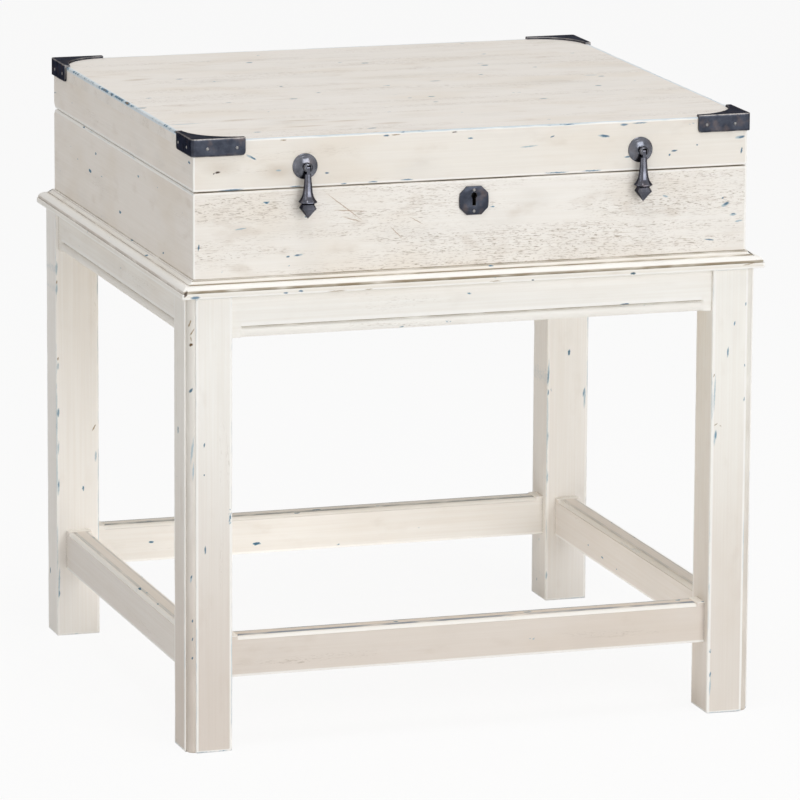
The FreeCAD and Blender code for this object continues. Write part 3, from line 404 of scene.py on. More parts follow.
# The back legs are painted whiter than the front ones as painted light, with little painted shade towards
# the floor, and old blue shows along the arrises that face the front
rubbed_leg_paint = distressed_paint(
    "rubbed_leg", UPRIGHT, 0.0, "#FDFBF7", 0.08, 0.1, 0.9, floor_shade=0.08, scars=[
        ("#A9BFCB", 0.8, 0.6, [
            (-305, 411, 88, 9, 1.4), (-305, 389, 88, 8, 1.3), (-304, 303, 88, 5, 1.2),
            (-304, 212, 88, 9, 1.1), (-304, 168, 88, 11, 1.3), (-304, 60, 88, 22, 1.2),
            (-262, 200, 88, 7, 1.5)]),
        ("#8E7243", 0.8, 0.5, [
            (-305, 396, 80, 2.5, 0.9), (-304, 311, 80, 2.5, 0.9), (-264, 232, 60, 5, 0.9)]),
        ("#6F95AB", 0.9, 0.5, [(-304, 251, 86, 6, 1.7), (-304, 171, 86, 4, 0.9), (-304, 48, 86, 5, 0.9)]),
    ])
lit_back_right_leg_paint = distressed_paint(
    "lit_back_right_leg", UPRIGHT, 0.0, "#FCFAF6", 0.12, 0.15, 0.9, floor_shade=0.15, scars=[
        ("#A9BFCB", 0.8, 0.6, [
            (261, 262, 88, 18, 1.3), (261, 190, 88, 6, 1.1), (261, 143, 88, 8, 1.1),
            (304, 232, 88, 14, 1.6), (261, 30, 88, 6, 1.2)]),
        ("#6F95AB", 0.9, 0.5, [(261, 258, 87, 9, 0.9), (261, 240, 87, 4, 0.9), (303, 238, 80, 6, 1.3)]),
    ])
leg_paint = {"front_left": knocked_leg_paint, "front_right": chipped_leg_paint,
             "back_right": lit_back_right_leg_paint, "back_left": rubbed_leg_paint}
for corner, turn in CORNER_TURNS.items():
    low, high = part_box("leg_" + corner)
    foot = Matrix.Translation(outer_corner(low, high, corner, low.z))
    seat = foot @ Matrix.Rotation(math.radians(turn), 4, "Z")
    leg = swept("painted_leg_" + corner, seat, marks_along((high.z - low.z) / MM, *LEG_END), leg_ring)
    stand_for(leg, "leg_" + corner, leg_paint[corner])


# Aprons: the rails under the rim, of painted pine, tenoned into the legs and set
# a little back. A bead is run along each lower edge and stops short of the legs.

SIDE_TURNS = {"front": 0, "right": 90, "back": 180, "left": 270}
# In mm: how deep a rail goes into the leg, the length over which a moulding fades out, and where it stops
SOCKET = 3.0
STOP_BLEND = 3.0
APRON_STOP = 9.0
APRON_THICK = 22
APRON_HIGH = 44
UPRIGHT_SECTION = Matrix(((0, 0, 1, 0), (1, 0, 0, 0), (0, 1, 0, 0), (0, 0, 0, 1)))
rail_crosswise_paint = distressed_paint("rail_crosswise", CROSSWISE, 0.03, "#FCFAF5", 0.12, 0.12)
rail_lengthwise_paint = distressed_paint("rail_lengthwise", LENGTHWISE, 0.0, "#FAF7F1", 0.25, 0.2, glaze=0.3)


def by_side(front, sides, back):
    """What each side of the table gets, the left and the right alike."""
    return {"front": front, "right": sides, "back": back, "left": sides}


def side_seat(node, side, length):
    """Where a side's board lies, given its length in metres: its start, outer face and lower edge."""
    low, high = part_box(node)
    outward = {"front": -low.y, "right": high.x, "back": high.y, "left": -low.x}[side]
    turn = Matrix.Rotation(math.radians(SIDE_TURNS[side]), 4, "Z")
    return turn @ Matrix.Translation((-length / 2, -outward, low.z)) @ UPRIGHT_SECTION


def stopped(moulded, plain, length, stop):
    """The profile along a rail whose moulding fades out a little way from the legs."""
    def ring_at(place):
        from_leg = min(place, length - place) - SOCKET
        share = min(1.0, max(0.0, (from_leg - stop) / STOP_BLEND))
        return [(q.lerp(p, share), flat_wear + share * (wear - flat_wear))
                for (p, wear), (q, flat_wear) in zip(moulded, plain)]
    return ring_at


def stop_places(length, stop):
    """Where a rail needs rings for its moulding to stop, near both of its ends."""
    steps = [SOCKET + stop + STOP_BLEND * part for part in (-0.6, 0.0, 0.25, 0.5, 0.75, 1.0, 2.5)]
    return steps + [length - step for step in steps]


def rails(kind, paint, moulded, plain, stop):
    """The four rails of a kind, each with its moulding stopped short of the legs."""
    for side in SIDE_TURNS:
        node = f"{kind}_{side}"
        clear = -2 * (leg_high.x if side in ("front", "back") else leg_high.y) / MM + 2 * SOCKET
        stations = marks_along(clear, extra=stop_places(clear, stop))
        rail = swept("painted_" + node, side_seat(node, side, clear * MM), stations,
                     stopped(moulded, plain, clear, stop))
        stand_for(rail, node, paint[side])


apron_back = [(APRON_THICK, 0, 0), (APRON_THICK, APRON_HIGH, 0), (0, APRON_HIGH, 0)]
apron_bead = arc((6.494, 5), 6.1, 124.95, 145, 2, 0.0) + arc((6.494, 5), 6.1, 152, 235.05, 6, 0.1)
# The flat above the quirk carries wear that pales it, partly as a painted highlight
apron_ring = eased([
    *apron_back, (0, 16.5, 0, 0.0), (0, 13.8, 0, 0.5), (0, 12.1, 0, 0.5), (0.5, 11.6, 0, 0.2),
    (3, 11.6, 0, -0.9), (3, 10.6, 0, -0.8), *apron_bead,
])
apron_plain = eased([
    *apron_back, *[(0, y, 0) for y in (16.5, 13.8, 12.1, 11.6, 11.0, 10.6)],
    *[(0, max(y, 0.0), 0) for _, y, _, _ in apron_bead],
])
apron_paint = by_side(rail_crosswise_paint, rail_lengthwise_paint, rail_crosswise_paint)
rails("apron", apron_paint, apron_ring, apron_plain, APRON_STOP)


# Stretchers: the low rails between the legs, of painted pine on stub tenons. Both
# upper edges are stepped and rounded, and the moulding stops short of the legs.

STRETCHER_STOP = 8.0
STRETCHER_THICK = 26
# The front one is painted greyer, with more shade towards the floor, as painted shade, and the back and side
# ones whiter as painted light. The old blue shows in their quirks
scuffed_paint = distressed_paint(
    "scuffed", CROSSWISE, 0.03, "#F6F1EA", 0.5, floor_shade=0.5, glaze_tint="#6F7C8A")
lit_back_rail_paint = distressed_paint(
    "lit_back_rail", CROSSWISE, 0.0, "#FAF9F5", 0.2, 0.2, floor_shade=0.2, glaze_tint="#7F8588")
lit_side_rail_paint = distressed_paint(
    "lit_side_rail", LENGTHWISE, 0.0, "#FDFBF7", 0.15, 0.1, glaze=0.3, floor_shade=0.35, glaze_tint="#8E9CA4")
stretcher_paint = by_side(scuffed_paint, lit_side_rail_paint, lit_back_rail_paint)
# The round on each upper edge carries wear that pales it, partly as a painted highlight
stretcher_edge = [
    (0, 34.0, 0, 0.0), (0, 37.9, 0, -0.1), (0, 38.5, 0, -0.55), (1, 38.5, 0, 0.3),
    *arc((5.317, 37.653), 4.4, 160, 100, 6, 0.7), (5.5, 42.04, 0, -1.0), (6, 42.8, 0, -1.0),
    (6.2, 43, 0, -1.0), (7.8, 43, 0, -0.9), (8.8, 43, 0, 0.0),
]
plain_edge = [(0, y, 0, 0.0) for y in (33.9, 37.0, 38.0, 38.4)]
plain_edge += [(0, 38.5 + 0.5 * step, 0, 0.0) for step in range(8)]
plain_edge += [(0, 42.5, 0, 0.3), (0, 42.7, 0, 0.5), (0.1, 42.9, 0, 0.5), (0.5, 43, 0, 0.5)]


def both_edges(edge):
    """A stretcher's profile, with the same edge on its outer and inner side."""
    other = [(STRETCHER_THICK - x, y, radius, wear) for x, y, radius, wear in reversed(edge)]
    return eased([(STRETCHER_THICK, 0, 1.0, 0.6), (0, 0, 1.0, 0.6), *edge, *other])


rails("stretcher", stretcher_paint, both_edges(stretcher_edge), both_edges(plain_edge), STRETCHER_STOP)


# Corner blocks: plain pine wedges glued inside the apron corners, with the screws
# that pull the rim down. They are sawn, left bare, and seen only from below.

# Edges of a CAD shape that turn by more than the first are eased, and those left above the second stay sharp
EASED_ABOVE = math.radians(28)
SHARP_ABOVE = math.radians(40)


def bare_pine_finish(name, grain_turn, early="#E4CFA8", late="#C9A674", fibres="#DBC295"):
    """Sawn pine with no coat: honey-pale wood with darker growth lines, dull to the light."""
    material, tree = new_material(name)
    spot = add(tree, "TexCoord", out="Object")
    grain = add(tree, "Mapping", {"Vector": spot, "Rotation": grain_turn})
    # Growth lines and fibres: length along the grain and width across it in mm, and detail
    patterns = []
    for length, width, detail in ((420, 9, 3.0), (40, 0.9, 2.0)):
        each = (1000 / length, 1000 / width, 1000 / width)
        place = add(tree, "VectorMath", {0: grain, 1: each}, operation="MULTIPLY")
        patterns.append(add(tree, "TexNoise", {"Vector": place, "Scale": 1.0, "Detail": detail}, out="Fac"))
    rings, fibre = patterns
    growth = add(tree, "MapRange", {"Value": rings, "From Min": 0.42, "From Max": 0.68})
    wood = tinted(tree, early, ((growth, late), (fibre, fibres)))
    relief = add(tree, "Bump", {"Height": fibre, "Strength": 0.35, "Distance": 0.2 * MM})
    shader = add(tree, "BsdfPrincipled", {
        "Base Color": wood, "Roughness": 0.62, "Normal": relief, "IOR": 1.5})
    add(tree, "OutputMaterial", {"Surface": shader})
    return material


def plain_steel_finish():
    """Zinc-plated steel: a cool grey metal, faintly clouded, with a soft mirror."""
    material, tree = new_material("zinc_plated_steel")
    spot = add(tree, "TexCoord", out="Object")
    clouds = add(tree, "TexNoise", {"Vector": spot, "Scale": 1000 / 4, "Detail": 3.0}, out="Fac")
    tone = tinted(tree, "#B9B8B4", [(clouds, "#97968F")])
    rough = add(tree, "MapRange", {"Value": clouds, "To Min": 0.28, "To Max": 0.5})
    shader = add(tree, "BsdfPrincipled", {"Base Color": tone, "Metallic": 1.0, "Roughness": rough})
    add(tree, "OutputMaterial", {"Surface": shader})
    return material


bare_pine_crosswise = bare_pine_finish("bare_pine_crosswise", CROSSWISE)
bare_pine_lengthwise = bare_pine_finish("bare_pine_lengthwise", LENGTHWISE)
plain_steel = plain_steel_finish()


def finish_node(node, material):
    """Give a CAD node whose shape is right its real finish."""
    frame["nodes"][node].material_slots[0].material = material


def softened(name, node, rounding, *materials):
    """A piece with the CAD node's own shape and its edges eased; the second finish is for the edges."""
    mesh = frame["nodes"][node].data.copy()
    shape = bmesh.new()
    shape.from_mesh(mesh)
    bmesh.ops.remove_doubles(shape, verts=shape.verts, dist=1e-6)
    bmesh.ops.dissolve_limit(shape, angle_limit=math.radians(0.6), verts=shape.verts, edges=shape.edges)
    edges = [edge for edge in shape.edges
             if edge.is_manifold and edge.calc_face_angle_signed() > EASED_ABOVE]
    done = bmesh.ops.bevel(shape, geom=edges, offset=rounding * MM, segments=2, profile=0.5,
                           affect="EDGES", clamp_overlap=True)
    for face in shape.faces:
        face.material_index = 0
    if len(materials) > 1:
        for face in done["faces"]:
            face.material_index = 1
    mesh.materials.clear()
    shape.to_mesh(mesh)
    shape.free()
    mesh.shade_smooth()
    mesh.set_sharp_from_angle(angle=SHARP_ABOVE)
    piece = bpy.data.objects.new(name, mesh)
    bpy.context.scene.collection.objects.link(piece)
    stand_for(piece, node, *materials)


for corner in CORNER_TURNS:
    softened("sawn_block_" + corner, "corner_block_" + corner, 0.8, bare_pine_crosswise)
finish_node("block_screws", plain_steel)
finish_node("box_screws", plain_steel)


# Rim: a mitred moulding of painted pine that caps the stand, wider than the box
# above. A hollow, a step and a round follow each other down to a square lip.

# At a mitre in mm, how far the easing reaches and how far it draws in, and its wear
RIM_MITRE = (1.3, 0.35, 0.6)
# The round and the lip carry wear that pales them, partly as a painted highlight
rim_ring = eased([
    (60, 0, 0), (60, 16.5, 0), (18, 16.5, 0), (14, 16.5, 0, 0.4),
    *arc((9.74, 17.59), 4.4, -14.35, -25, 1, -0.7), *arc((9.74, 17.59), 4.4, -36, -66, 3, 0.2),
    (10, 13.2, 0, -0.7), (10, 12.1, 0, -0.9), (9, 12.1, 0, 0.1), (7.5, 12.1, 0, 0.4),
    *arc((7.35, 5.70), 6.4, 88.66, 150, 7, 0.6), *arc((7.35, 5.70), 6.4, 160, 172.8, 2, -0.95),
    (1.6, 6.5, 0, -1.0), (1.6, 5.5, 0, -1.0), (0, 5.5, 0.5, 0.3), (0, 2.8, 0, 0.0), (0, 0, 0.7, 0.6),
])
# The lip's front is chipped blue here and there, and bruised brown at the left mitre
rim_front_paint = distressed_paint("rim_front", CROSSWISE, 0.03, "#F5F1EA", 0.4, scars=[
    ("#4A3620", 0.95, 0.5, [(-309, 481, 60, 4.6, 1.9)]),
    ("#8E7243", 0.7, 0.6, [
        (-150, 476, 0, 12, 0.8), (-116, 476, 0, 5, 0.8), (20, 477, 0, 8, 0.7), (296, 480, 8, 8, 0.9)]),
    ("#58809A", 0.9, 0.5, [(-299, 477, 0, 6, 1.8), (-204, 477, 0, 3, 1.2), (-188, 478, 0, 3, 1.2)]),
    ("#2A5566", 0.95, 0.5, [(169, 477, 0, 3.6, 1.5), (60, 476, 0, 2, 1.0)]),
])
rim_side_paint = distressed_paint(
    "rim_side", LENGTHWISE, 0.0, "#FAF7F1", 0.25, 0.2, 0.78, glaze=0.38, glaze_tint="#857264")
rim_paint = by_side(rim_front_paint, rim_side_paint, rail_crosswise_paint)
for side in SIDE_TURNS:
    node = "rim_" + side
    low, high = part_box(node)
    length = max(high.x - low.x, high.y - low.y)
    board = swept("painted_" + node, side_seat(node, side, length), marks_along(length / MM, *RIM_MITRE),
                  rim_ring, length)
    stand_for(board, node, rim_paint[side])


# Box: four boards of painted pine, mitred and glued at the corners, bare inside.
# The bottom lies in a rabbet; the back edge is bevelled, and meets the lid's bevel.

BOX_MITRE = (1.2, 0.35, 0.5)
BOARD_THICK = 19
BEVEL_SETBACK = 6.0
BEVEL_DROP = 7.15
# The rabbet that holds the bottom, in mm from the outer face and from below
RABBET = (11, 10)
# Hinges: how far from the middle, half their length, and the step that is cut for leaf and barrel, in mm
HINGE_FROM_MIDDLE = 200
HINGE_HALF = 25.1
HINGE_STEP = ((-1, 3.2), (9.6, 3.2), (9.6, 1.8), (17.6, 1.8), (17.6, -2), (-1, -2))
# A few long scratches cross the front of the box, with blue chips towards its ends
box_front_paint = distressed_paint("box_front", CROSSWISE, 0.21, "#F6F2EC", 0.5, 0.4, 0.93, scars=[
    ("#B0957B", 0.8, 0.5, [
        (-137, 559, -38, 28, 0.6), (-132, 555, -5, 20, 0.65), (-129, 546, -17, 13, 0.6),
        (-82, 530, -45, 11, 0.5), (-60, 541, -30, 9, 0.5)]),
    ("#8FAAB9", 0.8, 0.5, [
        (-247, 542, 4, 7, 0.9), (209, 553, -15, 4, 1.1), (-186, 512, 6, 6, 1.1), (275, 541, 22, 5.5, 2.0),
        (284, 530, 6, 4.5, 1.3), (290, 523, 8, 5, 1.0)]),
    ("#3F6A83", 0.95, 0.5, [
        (-291, 525, 84, 4.0, 1.2), (258, 505, -8, 6.0, 0.9), (276, 542, 22, 3.6, 1.2),
        (-197, 511, 10, 2.4, 1.2), (-187, 512, 8, 3.0, 0.9), (-178, 551, 0, 1.7, 1.0),
        (272, 548, 30, 1.6, 1.1), (284, 531, 6, 2.6, 0.9)]),
])
# The keyhole's walls are near-black: painted shade that stands for the dark cavity of the lock behind it
keyhole_painted_shade = bare_pine_finish("keyhole_shade_lining", CROSSWISE, "#1C1510", "#120D0A", "#17110D")
back_paint = distressed_paint("crosswise", CROSSWISE, 0.03, "#F3EEE6")
side_paint = distressed_paint("lengthwise", LENGTHWISE, 0.0, "#F7F1EA", rarity=0.78, glaze=0.5)
bare_inside = by_side(bare_pine_crosswise, bare_pine_lengthwise, bare_pine_crosswise)


def finish_faces(piece, way, finish):
    """Give the faces of a piece that look one way another of its finishes."""
    for face in piece.data.polygons:
        if face.normal.dot(way) > 0.8:
            face.material_index = finish


def cut_out(piece, ends, finish):
    """Cut a straight hole between two end rings out of a piece, and leave one of its finishes there."""
    cutter = skin("cutter", ends, [[0.0] * len(ends[0])] * 2)
    for face in cutter.data.polygons:
        face.material_index = finish
    tool = piece.modifiers.new("cut", "BOOLEAN")
    tool.operation = "DIFFERENCE"
    tool.solver = "EXACT"
    tool.object = cutter
    result = bpy.data.meshes.new_from_object(
        piece.evaluated_get(bpy.context.evaluated_depsgraph_get()))
    piece.modifiers.remove(tool)
    piece.data = result
    result.shade_smooth()
    result.set_sharp_from_angle(angle=FOLD)
    bpy.data.objects.remove(cutter)


def bevelled_end(ring, side, length, height, seam_above):
    """The profile along a side board whose back end carries the stop bevel."""
    def ring_at(place):
        from_back = length - place if side == "right" else place
        drop = max(0.0, BEVEL_DROP * (1 - from_back / BEVEL_SETBACK))
        if seam_above:
            return [(Vector((point.x, min(point.y, (height - drop) * MM))), wear) for point, wear in ring]
        return [(Vector((point.x, max(point.y, drop * MM))), wear) for point, wear in ring]
    return ring_at


def board_ring(side, height, lid):
    """A wall's profile: its seam edge is eased and glazed, rubbed and paled as a painted highlight on the
    sides, or bevelled on the back.
    """
    edge = [(1, 0, 0.4, -0.9), (0, 1, 0.4, 0.5 if lid else 0.35)]
    if side in ("left", "right"):
        edge = [(1, 0, 0.4, 0.5), (0, 1, 0.4, 0.9)]
    if side == "back":
        edge = [(BEVEL_SETBACK, 0, 0.6, 0.9), (0, BEVEL_DROP, 0.6, 0.9)]
    if lid:
        return eased([(BOARD_THICK, 0, 0.4, 0.7), *edge, (0, height, 0), (BOARD_THICK, height, 0)])
    edge = [(x, height - y, radius, wear) for x, y, radius, wear in edge]
    return eased([(BOARD_THICK, height, 0.4, 0.7), *edge, (0, 0, 0.5, -0.8), (RABBET[0], 0, 0),
                  (*RABBET, 0), (BOARD_THICK, RABBET[1], 0)])


def walls(kind, finishes, lid):
    """The four mitred boards of the box or of its lid, by side."""
    made = {}
    for side in SIDE_TURNS:
        node = f"{kind}_{side}"
        low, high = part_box(node)
        length = max(high.x - low.x, high.y - low.y)
        height = (high.z - low.z) / MM
        seat = side_seat(node, side, length)
        profile = board_ring(side, height, lid)
        extra = ()
        if side in ("left", "right"):
            profile = bevelled_end(profile, side, length / MM, height, not lid)
            extra = [BEVEL_SETBACK + 0.01, BEVEL_SETBACK - 0.5]
            extra = [length / MM - place for place in extra] if side == "right" else extra
        board = swept("painted_" + node, seat, marks_along(length / MM, *BOX_MITRE, extra), profile, length)
        finish_faces(board, seat.to_3x3() @ Vector((1, 0, 0)), 1)
        stand_for(board, node, finishes[side], bare_inside[side])
        made[side] = board
        if side == "back":
            seam, up = (0, 1) if lid else (height, -1)
            for offset in (-HINGE_FROM_MIDDLE, HINGE_FROM_MIDDLE):
                centre = length / MM / 2 + offset
                ends = [[seat @ (Vector((across, seam + up * depth, centre + half)) * MM)
                         for across, depth in HINGE_STEP] for half in (-HINGE_HALF, HINGE_HALF)]
                cut_out(board, ends, 1)
    return made


box_walls = walls("box", by_side(box_front_paint, side_paint, back_paint), False)
finish_node("box_bottom", bare_pine_crosswise)

# The keyhole in mm: its eye's rise over the plate's middle and its radius, its slot's half width and
# reach, and its depth in the board
EYE_RISE = 5.2
EYE_RADIUS = 3.3
SLOT_HALF = 1.9
SLOT_REACH = 10.5
KEYHOLE_DEPTH = 9
plate_low, plate_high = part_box("escutcheon")
eye = (plate_low + plate_high) / 2 + Vector((0, 0, EYE_RISE * MM))
eye.y = plate_high.y
slot_angle = math.degrees(math.asin(SLOT_HALF / EYE_RADIUS))
key_shape = [(x, z) for x, z, _, _ in arc((0, 0), EYE_RADIUS, slot_angle - 90, 270 - slot_angle, 20)]
key_shape = [(SLOT_HALF, -SLOT_REACH), *key_shape, (-SLOT_HALF, -SLOT_REACH)]
key_ends = [[eye + Vector((x, depth, z)) * MM for x, z in key_shape] for depth in (-2, KEYHOLE_DEPTH)]
# The cut's walls take that near-black finish as painted shade
box_walls["front"].data.materials.append(keyhole_painted_shade)
cut_out(box_walls["front"], key_ends, 2)


# Lid: four mitred boards under a pine top, glued to one flush block and painted as
# one. Its arrises are the most handled, so here the blue shows most.

lid_front_paint = distressed_paint("lid_front", CROSSWISE, 0.04, "#F2EDE5", 0.55, 0.35, 0.93, scars=[
    ("#B9A58C", 0.32, 0.9, [(-268, 605, 0, 24, 10), (-207, 599, 0, 26, 11)]),
    ("#3E2A1C", 1.0, 0.5, [(-271, 601, 5, 3.2, 1.2), (-275, 600, 30, 1.2, 0.8), (-20, 630.6, 0, 3.4, 0.7)]),
    ("#8E7243", 0.85, 0.5, [(-83, 630.7, 0, 5.5, 0.8), (-202, 630.9, 0, 4, 0.7)]),
    ("#8FAAB9", 0.8, 0.5, [
        (-236, 615, -28, 7, 1.4), (-207, 600, 0, 3.6, 1.2), (60, 612, 3, 11, 0.8), (167, 596, 0, 4.5, 1.2),
        (290, 611, 8, 6, 1.8), (141, 619, -8, 7.5, 1.8)]),
    ("#3F6A83", 0.95, 0.5, [
        (142, 619, -8, 5.5, 1.3), (-234, 614, -30, 4.0, 0.9), (167, 596, 4, 3.0, 0.9),
        (218, 600, 6, 4.2, 1.1), (213, 596, 30, 1.6, 1.1), (-156, 595, 0, 2.8, 1.1),
        (-176, 614, 0, 1.8, 1.0), (292, 611, 12, 4.2, 1.3), (292, 597, 80, 4.0, 1.2),
        (243, 605, 0, 1.2, 0.9), (85, 621, 20, 3.0, 0.9), (-93, 630.4, 0, 3.8, 1.1)]),
    ("#58809A", 0.9, 0.5, [
        (-257, 582.4, 1, 15, 1.1), (-189, 582.8, 0, 7, 0.8), (-138, 583, 0, 3.5, 0.9),
        (-107, 583.5, 0, 6, 0.8), (-71, 584, 0, 8, 0.8), (90, 583.5, 0, 15, 0.8), (128, 583.5, 0, 12, 0.8),
        (163, 629.8, 0, 5, 1.4), (180, 630.7, 0, 9, 0.8)]),
])
# The top's arrises are paled blue-white over their wear, partly as a painted highlight
lid_top_paint = distressed_paint("lid_top", CROSSWISE, 0.14, "#F6F1EB", 0.5, 0.35, 0.92,
                                 burnish="#E0E9F0", face="top", scars=[
    ("#B49C80", 0.5, 0.9, [
        (-111, -194, 2, 26, 5), (-72, -220, 0, 22, 6), (-155, -179, 0, 34, 4), (-247, 118, 12, 22, 7),
        (-160, -215, 3, 30, 5), (-215, -160, 4, 26, 5)]),
    ("#8FAAB9", 0.8, 0.5, [(-277, -169, 0, 20, 1.6), (129, -117, 0, 6, 2.0), (229, 16, -8, 9, 1.8)]),
    ("#3F6A83", 0.9, 0.5, [
        (-112, 34, 0, 2.4, 2.0), (-195, -52, 0, 4.0, 1.4), (-86, -16, 0, 3.0, 1.6), (56, 24, 0, 7.0, 1.6),
        (129, -117, 0, 3.6, 1.5), (14, -106, 0, 3.6, 1.8), (-202, 110, 0, 5.0, 1.8)]),
])
walls("lid", by_side(lid_front_paint, side_paint, back_paint), True)

TOP_THICK = 14.0
TOP_ROUNDING = 1.2
# The arris's own wear is narrow, and spreads as far as the wide band on some sides
TOP_WEAR_BAND = 1.3
top_low, top_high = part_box("lid_top")
half_x, half_y = top_high.x / MM, top_high.y / MM
# Round the top from the front: turn, half length, distance out, how handled it is, how far that spreads
TOP_SIDES = ((0, half_x, half_y, 1.02, 0.0), (90, half_y, half_x, 1.1, 0.8),
             (180, half_x, half_y, 1.05, 0.5), (270, half_y, half_x, 1.16, 0.95))


def plan_ring(inset, height):
    """Points round the top board, set in from its edge, each with its side's handling and spread."""
    ring = []
    for turn, run, out, handling, spread in TOP_SIDES:
        spin = Matrix.Rotation(math.radians(turn), 4, "Z")
        steps = round(2 * run / RING_SPACING)
        for step in range(steps):
            along = (-run + 2 * run * step / steps) * (run - inset) / run
            point = spin @ Vector((along * MM, (inset - out) * MM, 0))
            ring.append((point + Vector((0, 0, height)), handling, spread))
    return ring


# How far each ring is set in and dropped, its wear, and its share of the wear that spreads
top_steps = [(0.0, -TOP_THICK, 0.0, 0.0), (0.0, -TOP_ROUNDING - WEAR_BAND, 0.0, 0.0),
             (0.0, -TOP_ROUNDING - TOP_WEAR_BAND, 0.0, 1.0)]
for degrees in (0, 30, 60, 90):
    angle = math.radians(degrees)
    top_steps.append((TOP_ROUNDING * (1 - math.cos(angle)), TOP_ROUNDING * (math.sin(angle) - 1), 1.0, 0.0))
top_steps += [(TOP_ROUNDING + TOP_WEAR_BAND, 0.0, 0.0, 1.0), (TOP_ROUNDING + WEAR_BAND, 0.0, 0.0, 0.0)]
top_rings, top_wears = [], []
for inset, drop, wear, spreading in top_steps:
    ring = plan_ring(inset, top_high.z + drop * MM)
    for point, _, _ in ring:
        inward = Vector((-point.x / half_x, -point.y / half_y, -1)).normalized()
        point += inward * rubbed_depth(point, wear)
    top_rings.append([point for point, _, _ in ring])
    top_wears.append([wear * handling + spreading * spread for _, handling, spread in ring])
top = skin("painted_lid_top", top_rings, top_wears)
finish_faces(top, Vector((0, 0, -1)), 1)
finish_faces(top, Vector((0, -1, 0)), 2)
stand_for(top, "lid_top", lid_top_paint, bare_pine_crosswise, lid_front_paint)


def felt_finish():
    """Pressed wool felt: dark grey, dull and finely fuzzy."""
    material, tree = new_material("wool_felt")
    spot = add(tree, "TexCoord", out="Object")
    fuzz = add(tree, "TexNoise", {"Vector": spot, "Scale": 1000 / 0.5, "Detail": 4.0}, out="Fac")
    tone = tinted(tree, "#2E2E2D", [(fuzz, "#5A5955")])
    relief = add(tree, "Bump", {"Height": fuzz, "Strength": 0.6, "Distance": 0.2 * MM})
    shader = add(tree, "BsdfPrincipled", {
        "Base Color": tone, "Roughness": 0.95, "Normal": relief, "Sheen Weight": 0.3})
    add(tree, "OutputMaterial", {"Surface": shader})
    return material


finish_node("lid_bumpers", felt_finish())


# Hinges: two steel butts let into the seam at the back, their barrels lying in the
# bevelled edge, each leaf held by two countersunk screws.

for side in ("left", "right"):
    softened("hinge_half_box_" + side, "hinge_leaf_box_" + side, 0.25, plain_steel)
    softened("hinge_half_lid_" + side, "hinge_leaf_lid_" + side, 0.25, plain_steel)
    finish_node("hinge_pin_" + side, plain_steel)
for node in ("hinge_screws_box", "hinge_screws_lid"):
    finish_node(node, plain_steel)


# Corner brackets: iron plate cut and bent round each corner of the lid, blackened
# in the fire, waxed, and rubbed bright along its edges. Each is held by four nails.


def blackened_iron_finish(name, dark, light, brown_share, smooth, rough, pitting=0.2, sooty=0.85):
    """Fire-blackened iron: a blue-black skin with brown patches, bright where it is rubbed, and waxed."""
    material, tree = new_material(name)
    spot = add(tree, "TexCoord", out="Object")
    clouds = add(tree, "TexNoise", {
        "Vector": spot, "Scale": 1000 / 9, "Detail": 5.0, "Roughness": 0.6}, out="Fac")
    scale = add(tree, "TexNoise", {"Vector": spot, "Scale": 1000 / 1.6, "Detail": 3.0}, out="Fac")
    patch_place = add(tree, "VectorMath", {0: spot, 1: (0.3, 0.7, 0.1)}, operation="ADD")
    patches = add(tree, "TexNoise", {"Vector": patch_place, "Scale": 1000 / 12, "Detail": 4.0}, out="Fac")
    wear = add(tree, "Attribute", out="Fac", attribute_name="wear")
    handled = add(tree, "Math", {0: clouds, 1: 0.9, 2: wear}, operation="MULTIPLY_ADD")
    shelter = add(tree, "AmbientOcclusion", {"Distance": 4 * MM}, out="AO", samples=4)

    # The skin's tone, brown patches, rubbed edges and soot, each from none at one value to its share
    layers = []
    for source, none, full, share, tint in (
        (clouds, 0.32, 0.7, 1.0, light), (patches, 0.52, 0.74, brown_share, "#75645B"),
        (handled, 1.0, 1.6, 0.9, "#A8A29D"), (shelter, 0.75, 0.3, sooty, "#17181C"),
    ):
        mask = add(tree, "MapRange", {"Value": source, "From Min": none, "From Max": full, "To Max": share})
        layers.append((mask, tint))
    sheen = add(tree, "MapRange", {
        "Value": scale, "From Min": 0.3, "From Max": 0.7, "To Min": smooth, "To Max": rough})
    relief = add(tree, "Bump", {"Height": scale, "Strength": pitting, "Distance": 0.12 * MM})
    shader = add(tree, "BsdfPrincipled", {
        "Base Color": tinted(tree, dark, layers), "Metallic": 1.0, "Roughness": sheen, "Normal": relief,
        "Specular Tint": linear("#8C8C90")})
    add(tree, "OutputMaterial", {"Surface": shader})
    return material


blackened_iron = blackened_iron_finish("blackened_iron", "#33363F", "#484C56", 0.45, 0.36, 0.5, sooty=0.6)
rubbed_iron = blackened_iron_finish("rubbed_iron", "#6B6B70", "#A8A29D", 0.4, 0.3, 0.4, 0.08)
nail_iron = blackened_iron_finish("nail_iron", "#6A6B70", "#94928F", 0.25, 0.3, 0.42)

BRACKET_LENGTH = 54.5
BRACKET_DROP = 16.0
BRACKET_METAL = 2.4
BRACKET_BEND = 0.6
BRACKET_SWEEP = 50.5
CORNER_CENTRE = 0.6
CORNER_RADIUS = 3.0
END_ROUNDING = 3.5
# The hand-cut lower edge wanders by this much
UNEVEN = 0.35
meeting = BRACKET_LENGTH - BRACKET_SWEEP / math.sqrt(2)


